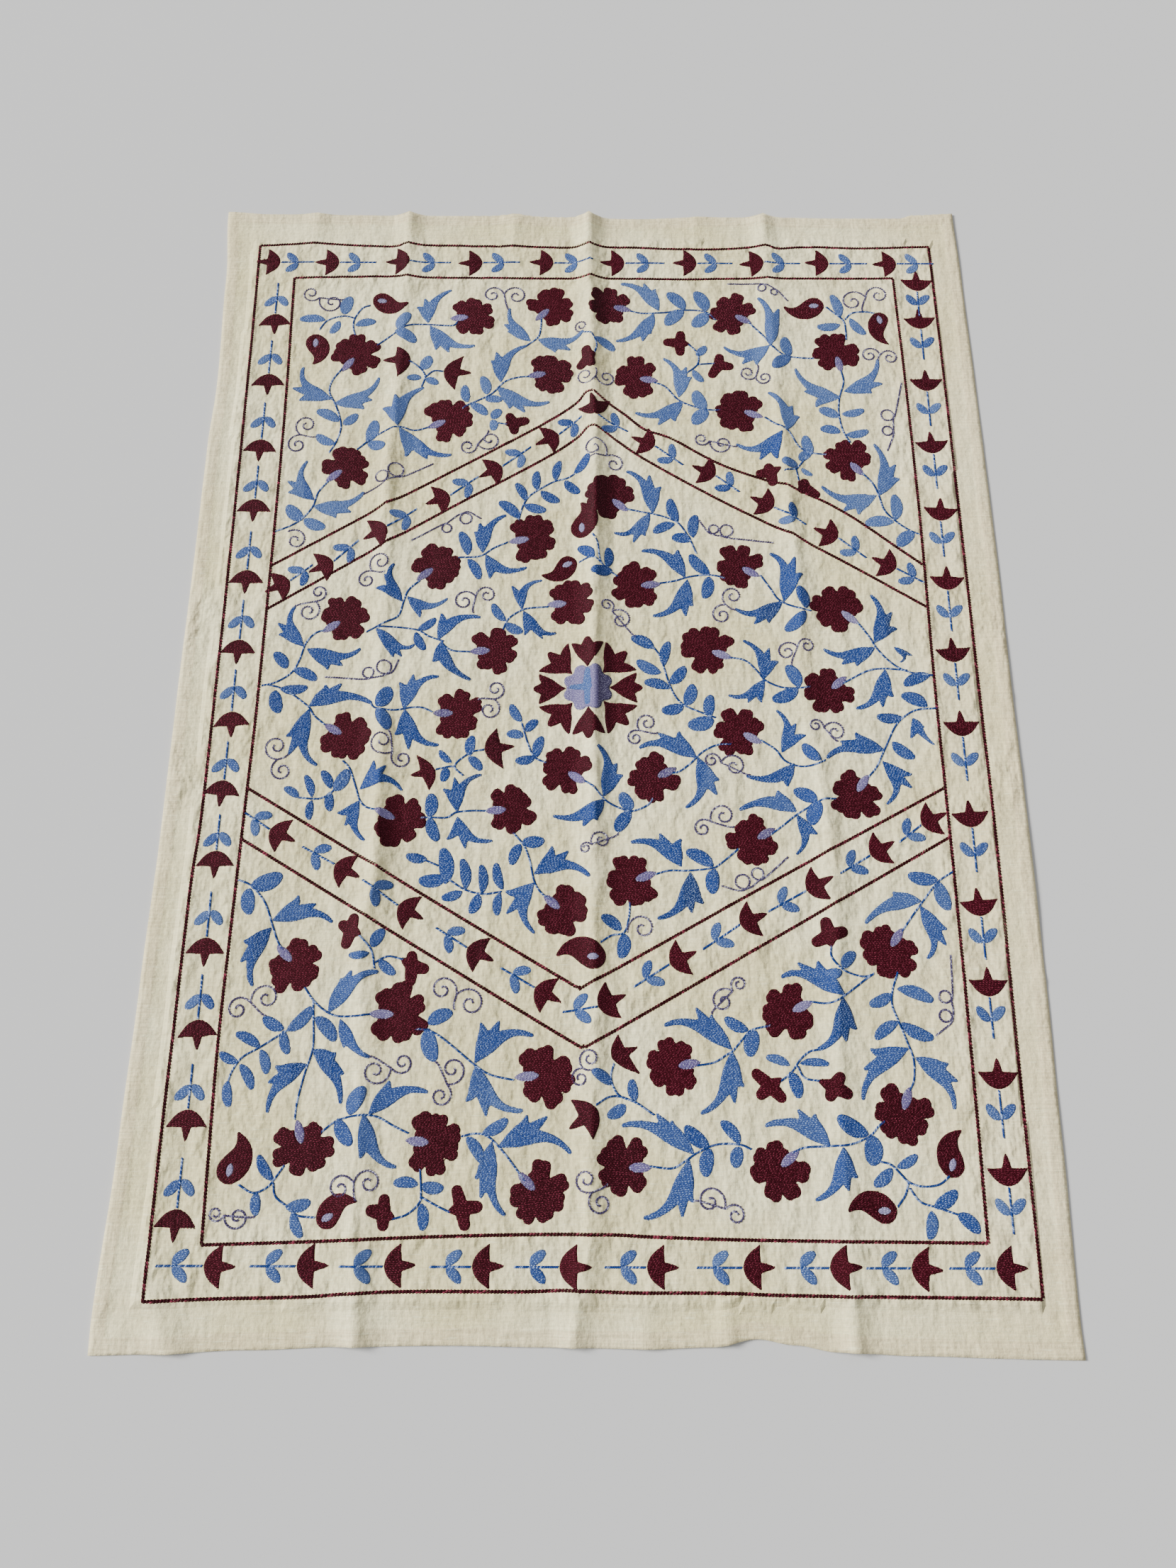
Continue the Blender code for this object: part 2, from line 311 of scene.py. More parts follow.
# Oval leaves: the base, the tip and the greatest width.
OvalLeaf = namedtuple("OvalLeaf", "x y tip_x tip_y width")
OVAL_LEAVES = [OvalLeaf(*row) for row in (
    (-478, 795, -470, 836, 26), (-515, 780, -565, 783, 20), (-488, 778, -503, 749, 18),
    (-456, 768, -417, 778, 19), (-373, 760, -352, 795, 24), (-378, 755, -337, 730, 24),
    (-324, 670, -308, 698, 24), (-323, 648, -350, 647, 15), (-315, 645, -290, 635, 17),
    (-418, 508, -404, 553, 25), (-415, 503, -383, 497, 22), (-473, 550, -516, 575, 22),
    (-465, 545, -438, 566, 20), (-478, 502, -514, 521, 20), (-525, 343, -556, 371, 26),
    (-522, 343, -483, 325, 24), (180, 808, 148, 847, 26), (178, 803, 142, 772, 28),
    (222, 805, 202, 850, 28), (222, 798, 195, 768, 28), (7, 735, 45, 712, 20),
    (193, 668, 212, 640, 16), (200, 702, 220, 722, 18), (215, 580, 195, 620, 27),
    (218, 575, 190, 548, 28), (-185, 560, -170, 578, 20), (-185, 555, -183, 532, 18),
    (-228, 590, -195, 567, 20), (-200, 600, -168, 600, 18), (-198, 612, -207, 652, 22),
    (-233, 595, -240, 632, 20), (380, 702, 370, 742, 24), (380, 697, 345, 672, 25),
    (480, 790, 468, 843, 22), (480, 773, 435, 767, 20), (500, 788, 527, 750, 20),
    (463, 563, 428, 581, 22), (470, 570, 513, 578, 18), (465, 530, 428, 539, 20),
    (475, 525, 518, 532, 18), (553, 345, 556, 397, 24), (550, 340, 498, 338, 24),
    (585, 318, 553, 292, 26), (410, 483, 398, 523, 22), (408, 487, 385, 470, 20),
    (380, 458, 352, 467, 20), (388, 452, 408, 437, 12), (-130, 345, -168, 381, 22),
    (-122, 375, -82, 362, 20), (-120, 382, -138, 420, 18), (-98, 405, -100, 445, 18),
    (-92, 403, -58, 380, 20), (-65, 425, -58, 467, 18), (-48, 425, -22, 398, 20),
    (-32, 440, -5, 478, 18), (-222, 270, -236, 318, 22), (-222, 262, -198, 222, 20),
    (5, 262, -23, 286, 20), (28, 245, 32, 284, 18), (37, 240, 0, 236, 22),
    (212, 235, 177, 272, 24), (210, 228, 202, 185, 24), (158, 340, 143, 387, 22),
    (152, 335, 112, 318, 20), (185, 308, 190, 354, 22), (180, 302, 146, 308, 22),
    (380, 165, 369, 207, 22), (378, 158, 343, 122, 24), (590, 38, 542, 20, 22),
    (580, -20, 537, 1, 24), (360, 15, 342, 56, 24), (358, 12, 314, -10, 25),
    (-530, 48, -553, 78, 22), (-518, 45, -475, 27, 21), (-538, 10, -490, 11, 20),
    (-545, 5, -537, -36, 25), (-367, -22, -347, 12, 28), (-368, -30, -345, -66, 24),
    (-305, 123, -273, 144, 17), (-308, 118, -291, 83, 18), (-150, 140, -175, 173, 18),
    (-150, 135, -120, 118, 20), (110, 88, 71, 110, 22), (128, 55, 136, 101, 20),
    (122, 42, 80, 64, 22), (137, 22, 165, 53, 22), (137, 12, 93, 25, 20),
    (163, -18, 178, 20, 24), (160, -20, 122, -30, 22), (205, -40, 207, 0, 22),
    (210, -45, 167, -57, 28), (-432, -175, -410, -138, 24), (-437, -172, -454, -140, 18),
    (-437, -178, -436, -212, 18), (-468, -188, -481, -148, 16), (-467, -193, -470, -227, 16),
    (-490, -188, -516, -170, 16), (-235, -125, -258, -103, 14), (-245, -135, -250, -159, 18),
    (-270, -220, -267, -180, 24), (-268, -222, -254, -263, 22), (-270, -293, -305, -288, 18),
    (-238, -335, -243, -275, 27), (-238, -325, -282, -331, 24), (-205, -112, -202, -76, 20),
    (-208, -115, -184, -138, 18), (-118, -50, -138, -18, 18), (-110, -68, -91, -47, 18),
    (-115, -77, -144, -72, 18), (-92, -115, -83, -77, 20), (-95, -115, -128, -122, 18),
    (-112, -262, -76, -262, 22), (-115, -268, -131, -303, 20), (-205, -345, -211, -293, 20),
    (-178, -352, -179, -303, 18), (-143, -345, -156, -300, 18), (-210, -348, -243, -360, 18),
    (-183, -353, -195, -385, 20), (-147, -350, -152, -388, 17), (70, -205, 51, -178, 24),
    (68, -212, 43, -245, 24), (202, -305, 159, -278, 24), (205, -310, 200, -351, 24),
    (390, -120, 361, -91, 20), (535, -40, 491, -40, 20), (515, -85, 550, -115, 22),
    (378, -193, 342, -172, 24), (383, -195, 368, -233, 26), (50, -412, 19, -388, 20),
    (55, -418, 50, -457, 24), (-555, -340, -506, -322, 30), (-557, -345, -555, -388, 25),
    (-478, -573, -440, -537, 22), (-435, -553, -400, -588, 24), (-483, -570, -518, -553, 20),
    (-483, -573, -474, -610, 18), (-518, -600, -558, -577, 18), (-517, -603, -504, -640, 18),
    (-550, -622, -581, -608, 16), (-548, -625, -524, -663, 18), (-563, -650, -559, -690, 18),
    (-350, -440, -334, -411, 20), (-355, -450, -388, -454, 14), (-338, -460, -312, -484, 18),
    (-370, -700, -350, -659, 26), (-388, -707, -366, -746, 24), (-255, -570, -244, -620, 28),
    (-255, -562, -218, -543, 24), (33, -655, 4, -632, 18), (72, -678, 65, -646, 18),
    (55, -685, 28, -703, 20), (250, -570, 213, -552, 20), (262, -572, 250, -611, 26),
    (402, -478, 374, -482, 18), (405, -472, 426, -446, 20), (480, -512, 444, -531, 20),
    (490, -505, 546, -523, 22), (488, -557, 449, -583, 20), (492, -558, 541, -583, 22),
    (313, -625, 276, -611, 16), (328, -622, 374, -622, 14), (312, -635, 326, -674, 22),
    (570, -325, 522, -319, 24), (572, -330, 584, -377, 26), (-480, -797, -507, -761, 18),
    (-503, -815, -503, -848, 18), (-458, -835, -421, -828, 20), (-447, -842, -432, -879, 18),
    (-260, -803, -298, -800, 18), (-255, -803, -221, -808, 20), (-255, -830, -250, -868, 20),
    (-165, -728, -126, -707, 20), (-190, -733, -163, -770, 20), (183, -745, 146, -717, 24),
    (185, -750, 176, -790, 24), (230, -742, 203, -708, 20), (230, -748, 222, -777, 22),
    (428, -727, 382, -702, 26), (432, -732, 433, -773, 30), (460, -777, 432, -803, 20),
    (468, -775, 501, -758, 16), (520, -832, 557, -810, 22), (515, -838, 510, -878, 20),
    (555, -843, 586, -868, 22),
)]

# Paisleys: the middle of the head, its radius, the tail's tip, and the side it bellies to.
Paisley = namedtuple("Paisley", "x y radius tip_x tip_y belly")
PAISLEYS = [Paisley(*row) for row in (
    (-530, 728, 23, -531, 680, -1), (-408, 826, 22, -357, 818, 1), (432, 817, 23, 374, 813, -1),
    (557, 785, 20, 570, 728, 1), (-17, 325, 24, -18, 376, 1), (-42, 252, 20, -88, 230, -1),
    (5, -455, 24, -53, -452, 1), (-548, -783, 24, -540, -728, 1), (-395, -850, 20, -352, -827, -1),
    (553, -772, 22, 570, -722, -1), (445, -838, 22, 390, -838, 1),
)]

# Three-lobed buds: where the stem joins, and the three tips.
BUDS = (
    ((5, 698), (-13, 716), (-26, 667), (2, 668)),
    ((186, 727), (172, 757), (137, 732), (170, 700)),
    ((235, 683), (245, 705), (271, 675), (225, 650)),
    ((-160, 547), (-157, 570), (-116, 555), (-143, 524)),
    ((382, 422), (393, 430), (418, 392), (382, 400)),
    ((347, 450), (325, 462), (303, 440), (335, 414)),
    ((-372, -420), (-382, -386), (-408, -400), (-396, -443)),
    ((-302, -460), (-287, -446), (-258, -477), (-287, -503)),
    ((388, -436), (416, -412), (380, -390), (358, -433)),
    ((297, -645), (254, -632), (260, -674), (303, -679)),
    ((358, -648), (394, -636), (407, -671), (370, -678)),
    ((-295, -850), (-310, -816), (-337, -838), (-310, -869)),
    ((-211, -840), (-203, -803), (-161, -833), (-186, -868)),
)

# Tulips in the field: the base and the three tips.
FIELD_TULIPS = (
    ((-345, 687), (-373, 718), (-399, 688), (-368, 646)),
    ((-282, 664), (-244, 698), (-228, 659), (-258, 620)),
    ((-262, -140), (-297, -110), (-306, -148), (-272, -176)),
    ((-181, -101), (-160, -61), (-129, -95), (-147, -136)),
    ((34, -613), (45, -576), (76, -597), (80, -639)),
    ((12, -692), (-30, -677), (-32, -721), (5, -737)),
)

# Tulips of the two bands: the base, the way the flower points, in degrees, and the stem's end.
BandTulip = namedtuple("BandTulip", "x y aim end_x end_y")
BAND_TULIPS = [BandTulip(*row) for row in (
    (-538, 218, 206, -500, 250), (-463, 257, 206, -420, 300), (-370, 325, 206, -318, 365),
    (-259, 393, 206, -208, 433), (-165, 455, 206, -112, 497), (-61, 524, 206, -18, 562),
    (12, 562, 108, 68, 531), (118, 500, 155, 170, 459), (229, 437, 155, 272, 402),
    (333, 370, 155, 390, 334), (447, 308, 155, 495, 267), (547, 246, 155, 595, 218),
    (-533, -244, 333, -577, -215), (-421, -303, 333, -477, -273), (-313, -372, 333, -373, -330),
    (-198, -441, 333, -250, -408), (-88, -505, 333, -143, -473), (13, -535, 27, -43, -543),
    (128, -466, 27, 70, -503), (243, -402, 27, 182, -442), (354, -345, 27, 290, -380),
    (463, -285, 27, 410, -317), (552, -232, 30, 513, -262),
)]

# Tulips of the border, along each side: the flower's base and the point where its leaves join.
TOP_BORDER_Y, BOTTOM_BORDER_Y = 918, -918
LEFT_BORDER_X, RIGHT_BORDER_X = (-613, -622), (635, 636)
TOP_BORDER = (
    (-613, -577), (-497, -455), (-358, -308), (-215, -172), (-75, -28), (65, 113), (207, 247),
    (338, 380), (467, 512), (600, 643),
)
BOTTOM_BORDER = (
    (-574, -622), (-436, -483), (-306, -350), (-175, -215), (-45, -90), (85, 45), (228, 182),
    (357, 312), (478, 433), (604, 557),
)
LEFT_BORDER = (
    (795, 838), (657, 703), (512, 562), (385, 425), (240, 288), (103, 150), (-33, 15),
    (-157, -118), (-280, -248), (-425, -380), (-556, -515), (-693, -655), (-838, -795),
)
RIGHT_BORDER = (
    (852, 818), (763, 718), (622, 570), (485, 435), (343, 295), (203, 148), (63, 17),
    (-75, -130), (-237, -288), (-387, -432), (-517, -557), (-660, -707), (-803, -845),
)

# The rosette in the middle: its centre, and its rays as direction, half spread and reach.
ROSETTE = (-5, 12)
ROSETTE_RAYS = [(45 * step + 1, 24 if step % 2 else 18.5, 92 if step % 2 else 90) for step in range(8)]

# The ruled lines in burgundy chain stitch.
FRAME_LINES = (
    ((-657, 958), (-652, 600), (-650, 200), (-650, -200), (-655, -350), (-658, -700), (-657, -967)),
    ((667, 958), (670, 600), (672, 0), (673, -300), (671, -600), (669, -958)),
    ((-657, 958), (-550, 963), (-450, 958), (-380, 957), (-360, 960), (-200, 957), (-50, 955),
     (50, 955), (220, 951), (340, 957), (365, 953), (420, 957), (540, 955), (667, 959)),
    ((-657, -967), (-550, -963), (-420, -960), (-350, -955), (-250, -952), (-100, -952),
     (-30, -950), (60, -953), (200, -953), (300, -956), (600, -959), (669, -960)),
    ((-583, 880), (-577, 600), (-575, 350), (-575, 0), (-578, -170), (-581, -350), (-585, -600),
     (-580, -888)),
    ((590, 882), (596, 600), (598, 300), (596, 0), (598, -300), (598, -600), (596, -883)),
    ((-583, 880), (-420, 884), (-350, 882), (-100, 880), (40, 880), (200, 879), (300, 881),
     (590, 882)),
    ((-580, -889), (-420, -884), (-250, -877), (-90, -873), (30, -873), (100, -876), (260, -880),
     (596, -883)),
    ((-574, 248), (-400, 357), (-250, 448), (-100, 540), (-30, 590), (-14, 609), (-3, 614),
     (12, 607), (60, 570), (100, 535), (150, 515), (250, 455), (430, 380), (595, 254)),
    ((-574, 162), (-300, 340), (-100, 463), (-30, 513), (-8, 535), (4, 537), (30, 524),
     (100, 470), (235, 385), (420, 280), (595, 170)),
    ((-580, -170), (-300, -338), (-50, -487), (-17, -503), (10, -492), (300, -330), (595, -168)),
    ((-580, -260), (-300, -428), (-40, -583), (-9, -595), (25, -580), (300, -423), (598, -253)),
)

# Stems in blue stem stitch.
STEMS = (
    ((-455, 745), (-460, 765), (-458, 785), (-445, 808), (-430, 815)),
    ((-458, 785), (-480, 790), (-510, 780), (-525, 758)),
    ((-412, 722), (-375, 752), (-350, 768), (-318, 771), (-270, 768), (-258, 778)),
    ((-348, 686), (-335, 678), (-322, 665), (-316, 650), (-322, 628)),
    ((-282, 663), (-300, 664), (-316, 650)),
    ((-435, 490), (-400, 520), (-360, 537), (-330, 532), (-302, 540)),
    ((-475, 668), (-492, 640), (-495, 615), (-483, 590), (-472, 560), (-468, 535), (-475, 505),
     (-487, 483)),
    ((-480, 427), (-500, 400), (-508, 370), (-525, 345), (-545, 330), (-572, 318)),
    ((-97, 795), (-98, 765), (-103, 742), (-125, 722)),
    ((-115, 652), (-140, 650), (-165, 640), (-190, 612), (-230, 590), (-243, 580)),
    ((75, 803), (100, 798), (140, 800), (180, 806), (220, 802), (240, 783)),
    ((-18, 750), (0, 742), (10, 720), (5, 697)),
    ((118, 640), (140, 630), (165, 600), (200, 583), (225, 578), (242, 578)),
    ((186, 727), (203, 705), (202, 680), (180, 660)),
    ((203, 680), (235, 683)),
    ((302, 780), (330, 745), (345, 720), (365, 703), (390, 697), (425, 695)),
    ((490, 738), (490, 760), (487, 782), (470, 800), (455, 815)),
    ((490, 785), (505, 800), (530, 803), (548, 800)),
    ((475, 668), (478, 640), (468, 605), (465, 570), (470, 535), (482, 508)),
    ((500, 443), (518, 420), (527, 395), (535, 365), (553, 343), (575, 325), (595, 315)),
    ((325, 563), (345, 545), (368, 530), (385, 500), (405, 487), (436, 482)),
    ((355, 443), (378, 450), (383, 455), (405, 485)),
    ((378, 450), (382, 425)),
    ((-180, 550), (-158, 546)),
    ((-132, 342), (-125, 370), (-115, 390), (-100, 403), (-70, 422), (-45, 430), (-30, 440)),
    ((-150, 297), (-175, 285), (-200, 268), (-238, 265)),
    ((2, 310), (12, 290), (15, 265), (22, 248), (48, 228)),
    ((-22, 255), (-5, 262), (8, 260), (20, 250)),
    ((122, 215), (150, 220), (175, 228), (205, 232), (225, 230), (240, 225)),
    ((62, 367), (90, 360), (115, 355), (140, 347), (160, 335), (178, 305), (190, 275)),
    ((303, 232), (320, 205), (335, 182), (365, 165), (390, 160)),
    ((470, 140), (490, 110), (500, 90), (520, 65), (550, 45), (595, 38)),
    ((550, 47), (510, 50), (480, 45), (437, 22)),
    ((-305, 220), (-325, 200), (-333, 175), (-340, 150), (-360, 137), (-395, 118)),
    ((-378, 127), (-340, 127), (-305, 122), (-285, 110), (-258, 100)),
    ((-570, 15), (-545, 22), (-520, 40), (-508, 65), (-500, 95), (-485, 115), (-466, 122)),
    ((-560, 17), (-535, 10), (-510, -5), (-485, -25), (-475, -40), (-455, -57)),
    ((-380, -15), (-370, -27), (-340, -30), (-310, -25), (-290, -25), (-272, -33)),
    ((-75, 168), (-110, 165), (-125, 160), (-145, 145), (-155, 123)),
    ((-210, 80), (-240, 82), (-255, 90), (-262, 100)),
    ((240, 72), (270, 65), (290, 45), (303, 28), (330, 15), (360, 13), (380, 15)),
    ((85, 108), (105, 95), (120, 75), (128, 50), (135, 25), (145, 0), (160, -18), (185, -30),
     (215, -42)),
    ((-420, -122), (-408, -135), (-400, -155), (-393, -175), (-387, -192), (-375, -205),
     (-355, -212)),
    ((-408, -140), (-432, -175), (-450, -188), (-465, -190), (-490, -188)),
    ((-262, -137), (-240, -132), (-230, -132)),
    ((-181, -101), (-205, -107), (-230, -130), (-215, -148)),
    ((-283, -222), (-265, -222), (-240, -222), (-225, -213), (-200, -210), (-173, -210)),
    ((-128, -248), (-110, -270), (-100, -295), (-92, -330), (-80, -350), (-62, -362)),
    ((-278, -293), (-250, -305)),
    ((-232, -328), (-205, -345), (-175, -352), (-145, -348)),
    ((-75, -125), (-95, -115), (-105, -95), (-113, -70), (-118, -52)),
    ((-15, -155), (5, -170), (25, -192), (50, -205), (70, -210), (95, -200), (105, -188)),
    ((135, -143), (150, -140), (170, -125), (190, -105), (215, -92), (240, -90)),
    ((107, -318), (130, -312), (160, -312), (200, -308), (215, -300), (245, -275)),
    ((290, -82), (315, -100), (330, -120), (355, -130), (380, -128), (398, -120)),
    ((470, -148), (485, -130), (495, -110), (505, -90), (520, -60), (535, -42), (560, -27),
     (597, -23)),
    ((412, -188), (390, -190), (370, -200), (345, -215), (320, -235), (300, -250)),
    ((65, -365), (63, -390), (55, -415), (35, -420), (17, -432)),
    ((-577, -330), (-555, -340), (-530, -368), (-515, -405), (-505, -430), (-495, -445)),
    ((-455, -505), (-440, -525), (-420, -542), (-400, -550), (-370, -550), (-345, -547)),
    ((-440, -525), (-437, -560), (-435, -600), (-445, -640), (-453, -680), (-455, -708)),
    ((-478, -573), (-500, -587), (-520, -600), (-545, -615), (-558, -635), (-563, -650)),
    ((-372, -422), (-352, -445), (-345, -475)),
    ((-300, -460), (-325, -455), (-345, -465)),
    ((-275, -570), (-255, -572), (-235, -582), (-205, -605), (-180, -625), (-155, -640),
     (-118, -648)),
    ((168, -625), (195, -620), (215, -608), (225, -602), (240, -585), (255, -570), (285, -563)),
    ((38, -622), (33, -645), (45, -670), (70, -680), (100, -700)),
    ((10, -685), (30, -673), (50, -673), (75, -683)),
    ((505, -412), (525, -385), (545, -360), (570, -330), (597, -312)),
    ((350, -525), (375, -528), (395, -522), (420, -505), (440, -490), (455, -480)),
    ((388, -436), (388, -455), (405, -475), (435, -485), (453, -482)),
    ((493, -478), (483, -505), (480, -530), (488, -555), (500, -590), (507, -615), (505, -645),
     (497, -662)),
    ((360, -600), (345, -603), (330, -615), (315, -635), (298, -648)),
    ((325, -625), (335, -643), (358, -648)),
    ((-413, -727), (-390, -710), (-360, -702), (-330, -703), (-300, -718), (-278, -728)),
    ((-533, -803), (-510, -815), (-490, -808), (-480, -797), (-465, -775)),
    ((-480, -800), (-475, -820), (-455, -835), (-440, -847), (-413, -850)),
    ((-297, -852), (-275, -845), (-258, -830), (-255, -815), (-258, -780)),
    ((-255, -820), (-230, -833), (-210, -842)),
    ((-197, -732), (-175, -728), (-155, -733), (-130, -757), (-98, -797)),
    ((92, -775), (125, -778), (145, -768), (165, -755), (195, -743), (230, -743), (248, -750)),
    ((310, -755), (330, -747), (365, -745), (400, -742), (430, -730), (445, -715), (455, -708)),
    ((443, -767), (460, -772), (475, -787), (485, -797), (505, -803), (530, -800), (547, -788)),
    ((484, -797), (478, -815), (465, -832)),
    ((485, -805), (500, -825), (525, -833), (555, -843)),
)

# Double scrolls in lilac chain stitch: where the stalk starts, and the middles of the volutes.
SCROLLS = (
    ((-480, 830), (-547, 843), (-505, 822)),
    ((-160, 805), (-193, 840), (-147, 838)),
    ((-15, 750), (-20, 764)),
    ((8, 665), (-12, 650), (28, 648)),
    ((272, 500), (205, 515), (243, 505)),
    ((-192, 533), (-230, 498), (-190, 512)),
    ((525, 805), (508, 827), (558, 842)),
    ((548, 690), (532, 702), (570, 697)),
    ((-512, 518), (-533, 543), (-547, 500)),
    ((-550, 318), (-535, 300)),
    ((-368, 235), (-377, 255), (-400, 220)),
    ((-526, 166), (-485, 195), (-500, 158)),
    ((-5, 470), (5, 490), (42, 460)),
    ((257, 163), (252, 190), (232, 153)),
    ((350, 55), (343, 82), (378, 92)),
    ((80, 110), (28, 170), (52, 143)),
    ((-208, 155), (-225, 178), (-185, 190)),
    ((-195, -10), (-165, 10), (-175, -28)),
    ((-345, -68), (-355, -88), (-320, -118)),
    ((-513, -110), (-535, -97), (-522, -140)),
    ((115, -70), (97, -52), (76, -80)),
    ((270, -145), (205, -120), (243, -130)),
    ((422, -85), (385, -57), (418, -68)),
    ((240, -237), (222, -218), (187, -240)),
    ((47, -248), (18, -262), (-8, -275)),
    ((60, -415), (85, -408)),
    ((-345, -613), (-293, -622), (-335, -635)),
    ((-513, -550), (-558, -540), (-515, -522)),
    ((-215, -540), (-235, -508), (-190, -530)),
    ((-242, -620), (-215, -632), (-232, -672)),
    ((193, -545), (238, -498), (212, -525)),
    ((5, -632), (0, -615), (-15, -645)),
    ((157, -825), (182, -825), (220, -845)),
    ((-503, -848), (-530, -850), (-563, -845)),
    ((-352, -827), (-378, -808), (-335, -800)),
    ((28, -800), (-5, -795), (17, -828)),
    ((317, 680), (297, 662), (328, 650)),
)

# Curly tendrils in lilac chain stitch: the start, the loops as centre and radius, and the end.
TENDRILS = (
    ((382, 828), ((355, 847, 7), (332, 857, 8)), (265, 868)),
    ((-418, 395), ((-385, 430, 12), (-360, 445, 14)), (-292, 460)),
    ((550, 490), ((553, 533, 10), (555, 567, 12)), (588, 640)),
    ((-462, 32), ((-387, 40, 10), (-360, 50, 13)), (-335, 65)),
    ((195, 345), ((222, 325, 9), (245, 322, 12)), (330, 297)),
    ((-200, 345), ((-228, 345, 11), (-262, 325, 9)), (-325, 300)),
    ((215, -338), ((250, -330, 12), (275, -317, 10)), (327, -288)),
    ((545, -578), ((563, -547, 10), (565, -517, 10)), (580, -450)),
)


class ClothSettings(bpy.types.PropertyGroup):
    """The ground cloth's finish."""

    cotton: FloatVectorProperty(
        name="Cotton", description="The unbleached cotton's main colour",
        default=(0.745, 0.705, 0.340), size=3, subtype="COLOR", min=0.0, max=1.0,
    )
    washed_cotton: FloatVectorProperty(
        name="Washed cotton", description="The paler, cooler patches of the cotton",
        default=(0.96, 0.945, 0.59), size=3, subtype="COLOR", min=0.0, max=1.0,
    )
    hem_cotton: FloatVectorProperty(
        name="Hem", description="The yellower double cloth of the hems",
        default=(0.80, 0.67, 0.41), size=3, subtype="COLOR", min=0.0, max=1.0,
    )
    pucker: FloatProperty(
        name="Pucker height", description="How high the cloth puckers beside the stitching",
        default=0.0011, min=0.0, max=0.003, unit="LENGTH", precision=4,
    )
    swell: FloatProperty(
        name="Swell height", description="How high the loose cloth swells off the floor",
        default=0.0022, min=0.0, max=0.006, unit="LENGTH", precision=4,
    )


class YarnSettings(bpy.types.PropertyGroup):
    """Sizes and colours of the embroidery."""

    row_pitch: FloatProperty(
        name="Row pitch", description="How far apart the laid rows are",
        default=0.0031, min=0.002, max=0.006, unit="LENGTH", precision=4,
    )
    stitch_length: FloatProperty(
        name="Stitch length", description="How long one couched stitch is",
        default=0.0050, min=0.003, max=0.012, unit="LENGTH", precision=4,
    )
    yarn_height: FloatProperty(
        name="Yarn height", description="How far the laid yarn stands off the cloth",
        default=0.00125, min=0.0003, max=0.003, unit="LENGTH", precision=5,
    )
    line_width: FloatProperty(
        name="Line width", description="How wide a line of chain stitch is",
        default=0.0048, min=0.002, max=0.008, unit="LENGTH", precision=4,
    )
    burgundy: FloatVectorProperty(
        name="Burgundy", description="The main dye of the flowers",
        default=(0.034, 0.0001, 0.0034), size=3, subtype="COLOR", min=0.0, max=1.0,
    )
    blue: FloatVectorProperty(
        name="Blue", description="The main dye of the leaves",
        default=(0.011, 0.046, 0.235), size=3, subtype="COLOR", min=0.0, max=1.0,
    )
    lilac: FloatVectorProperty(
        name="Lilac", description="The main dye of the calyxes and scrolls",
        default=(0.150, 0.115, 0.30), size=3, subtype="COLOR", min=0.0, max=1.0,
    )


class StageSettings(bpy.types.PropertyGroup):
    """The floor and the light."""

    floor: FloatVectorProperty(
        name="Floor", description="The plain floor's colour",
        default=(0.575, 0.575, 0.575), size=3, subtype="COLOR", min=0.0, max=1.0,
    )
    key_power: FloatProperty(
        name="Key light", description="Strength of the soft light from the left",
        default=7.4, min=0.0, max=20.0,
    )
    fill_strength: FloatProperty(
        name="Fill light", description="Strength of the even light from all round",
        default=0.56, min=0.0, max=5.0,
    )


class Wire:
    """A node's output, which can be used in sums."""

    def __init__(self, recipe, socket):
        self.recipe = recipe
        self.socket = socket

    def maths(self, operation, *values):
        """A sum of numbers and wires, as one more node."""
        return self.recipe.add("ShaderNodeMath", {"operation": operation}, dict(enumerate(values)))

    def __add__(self, other):
        return self.maths("ADD", self, other)

    __radd__ = __add__

    def __sub__(self, other):
        return self.maths("SUBTRACT", self, other)

    def __rsub__(self, other):
        return self.maths("SUBTRACT", other, self)

    def __mul__(self, other):
        return self.maths("MULTIPLY", self, other)

    __rmul__ = __mul__


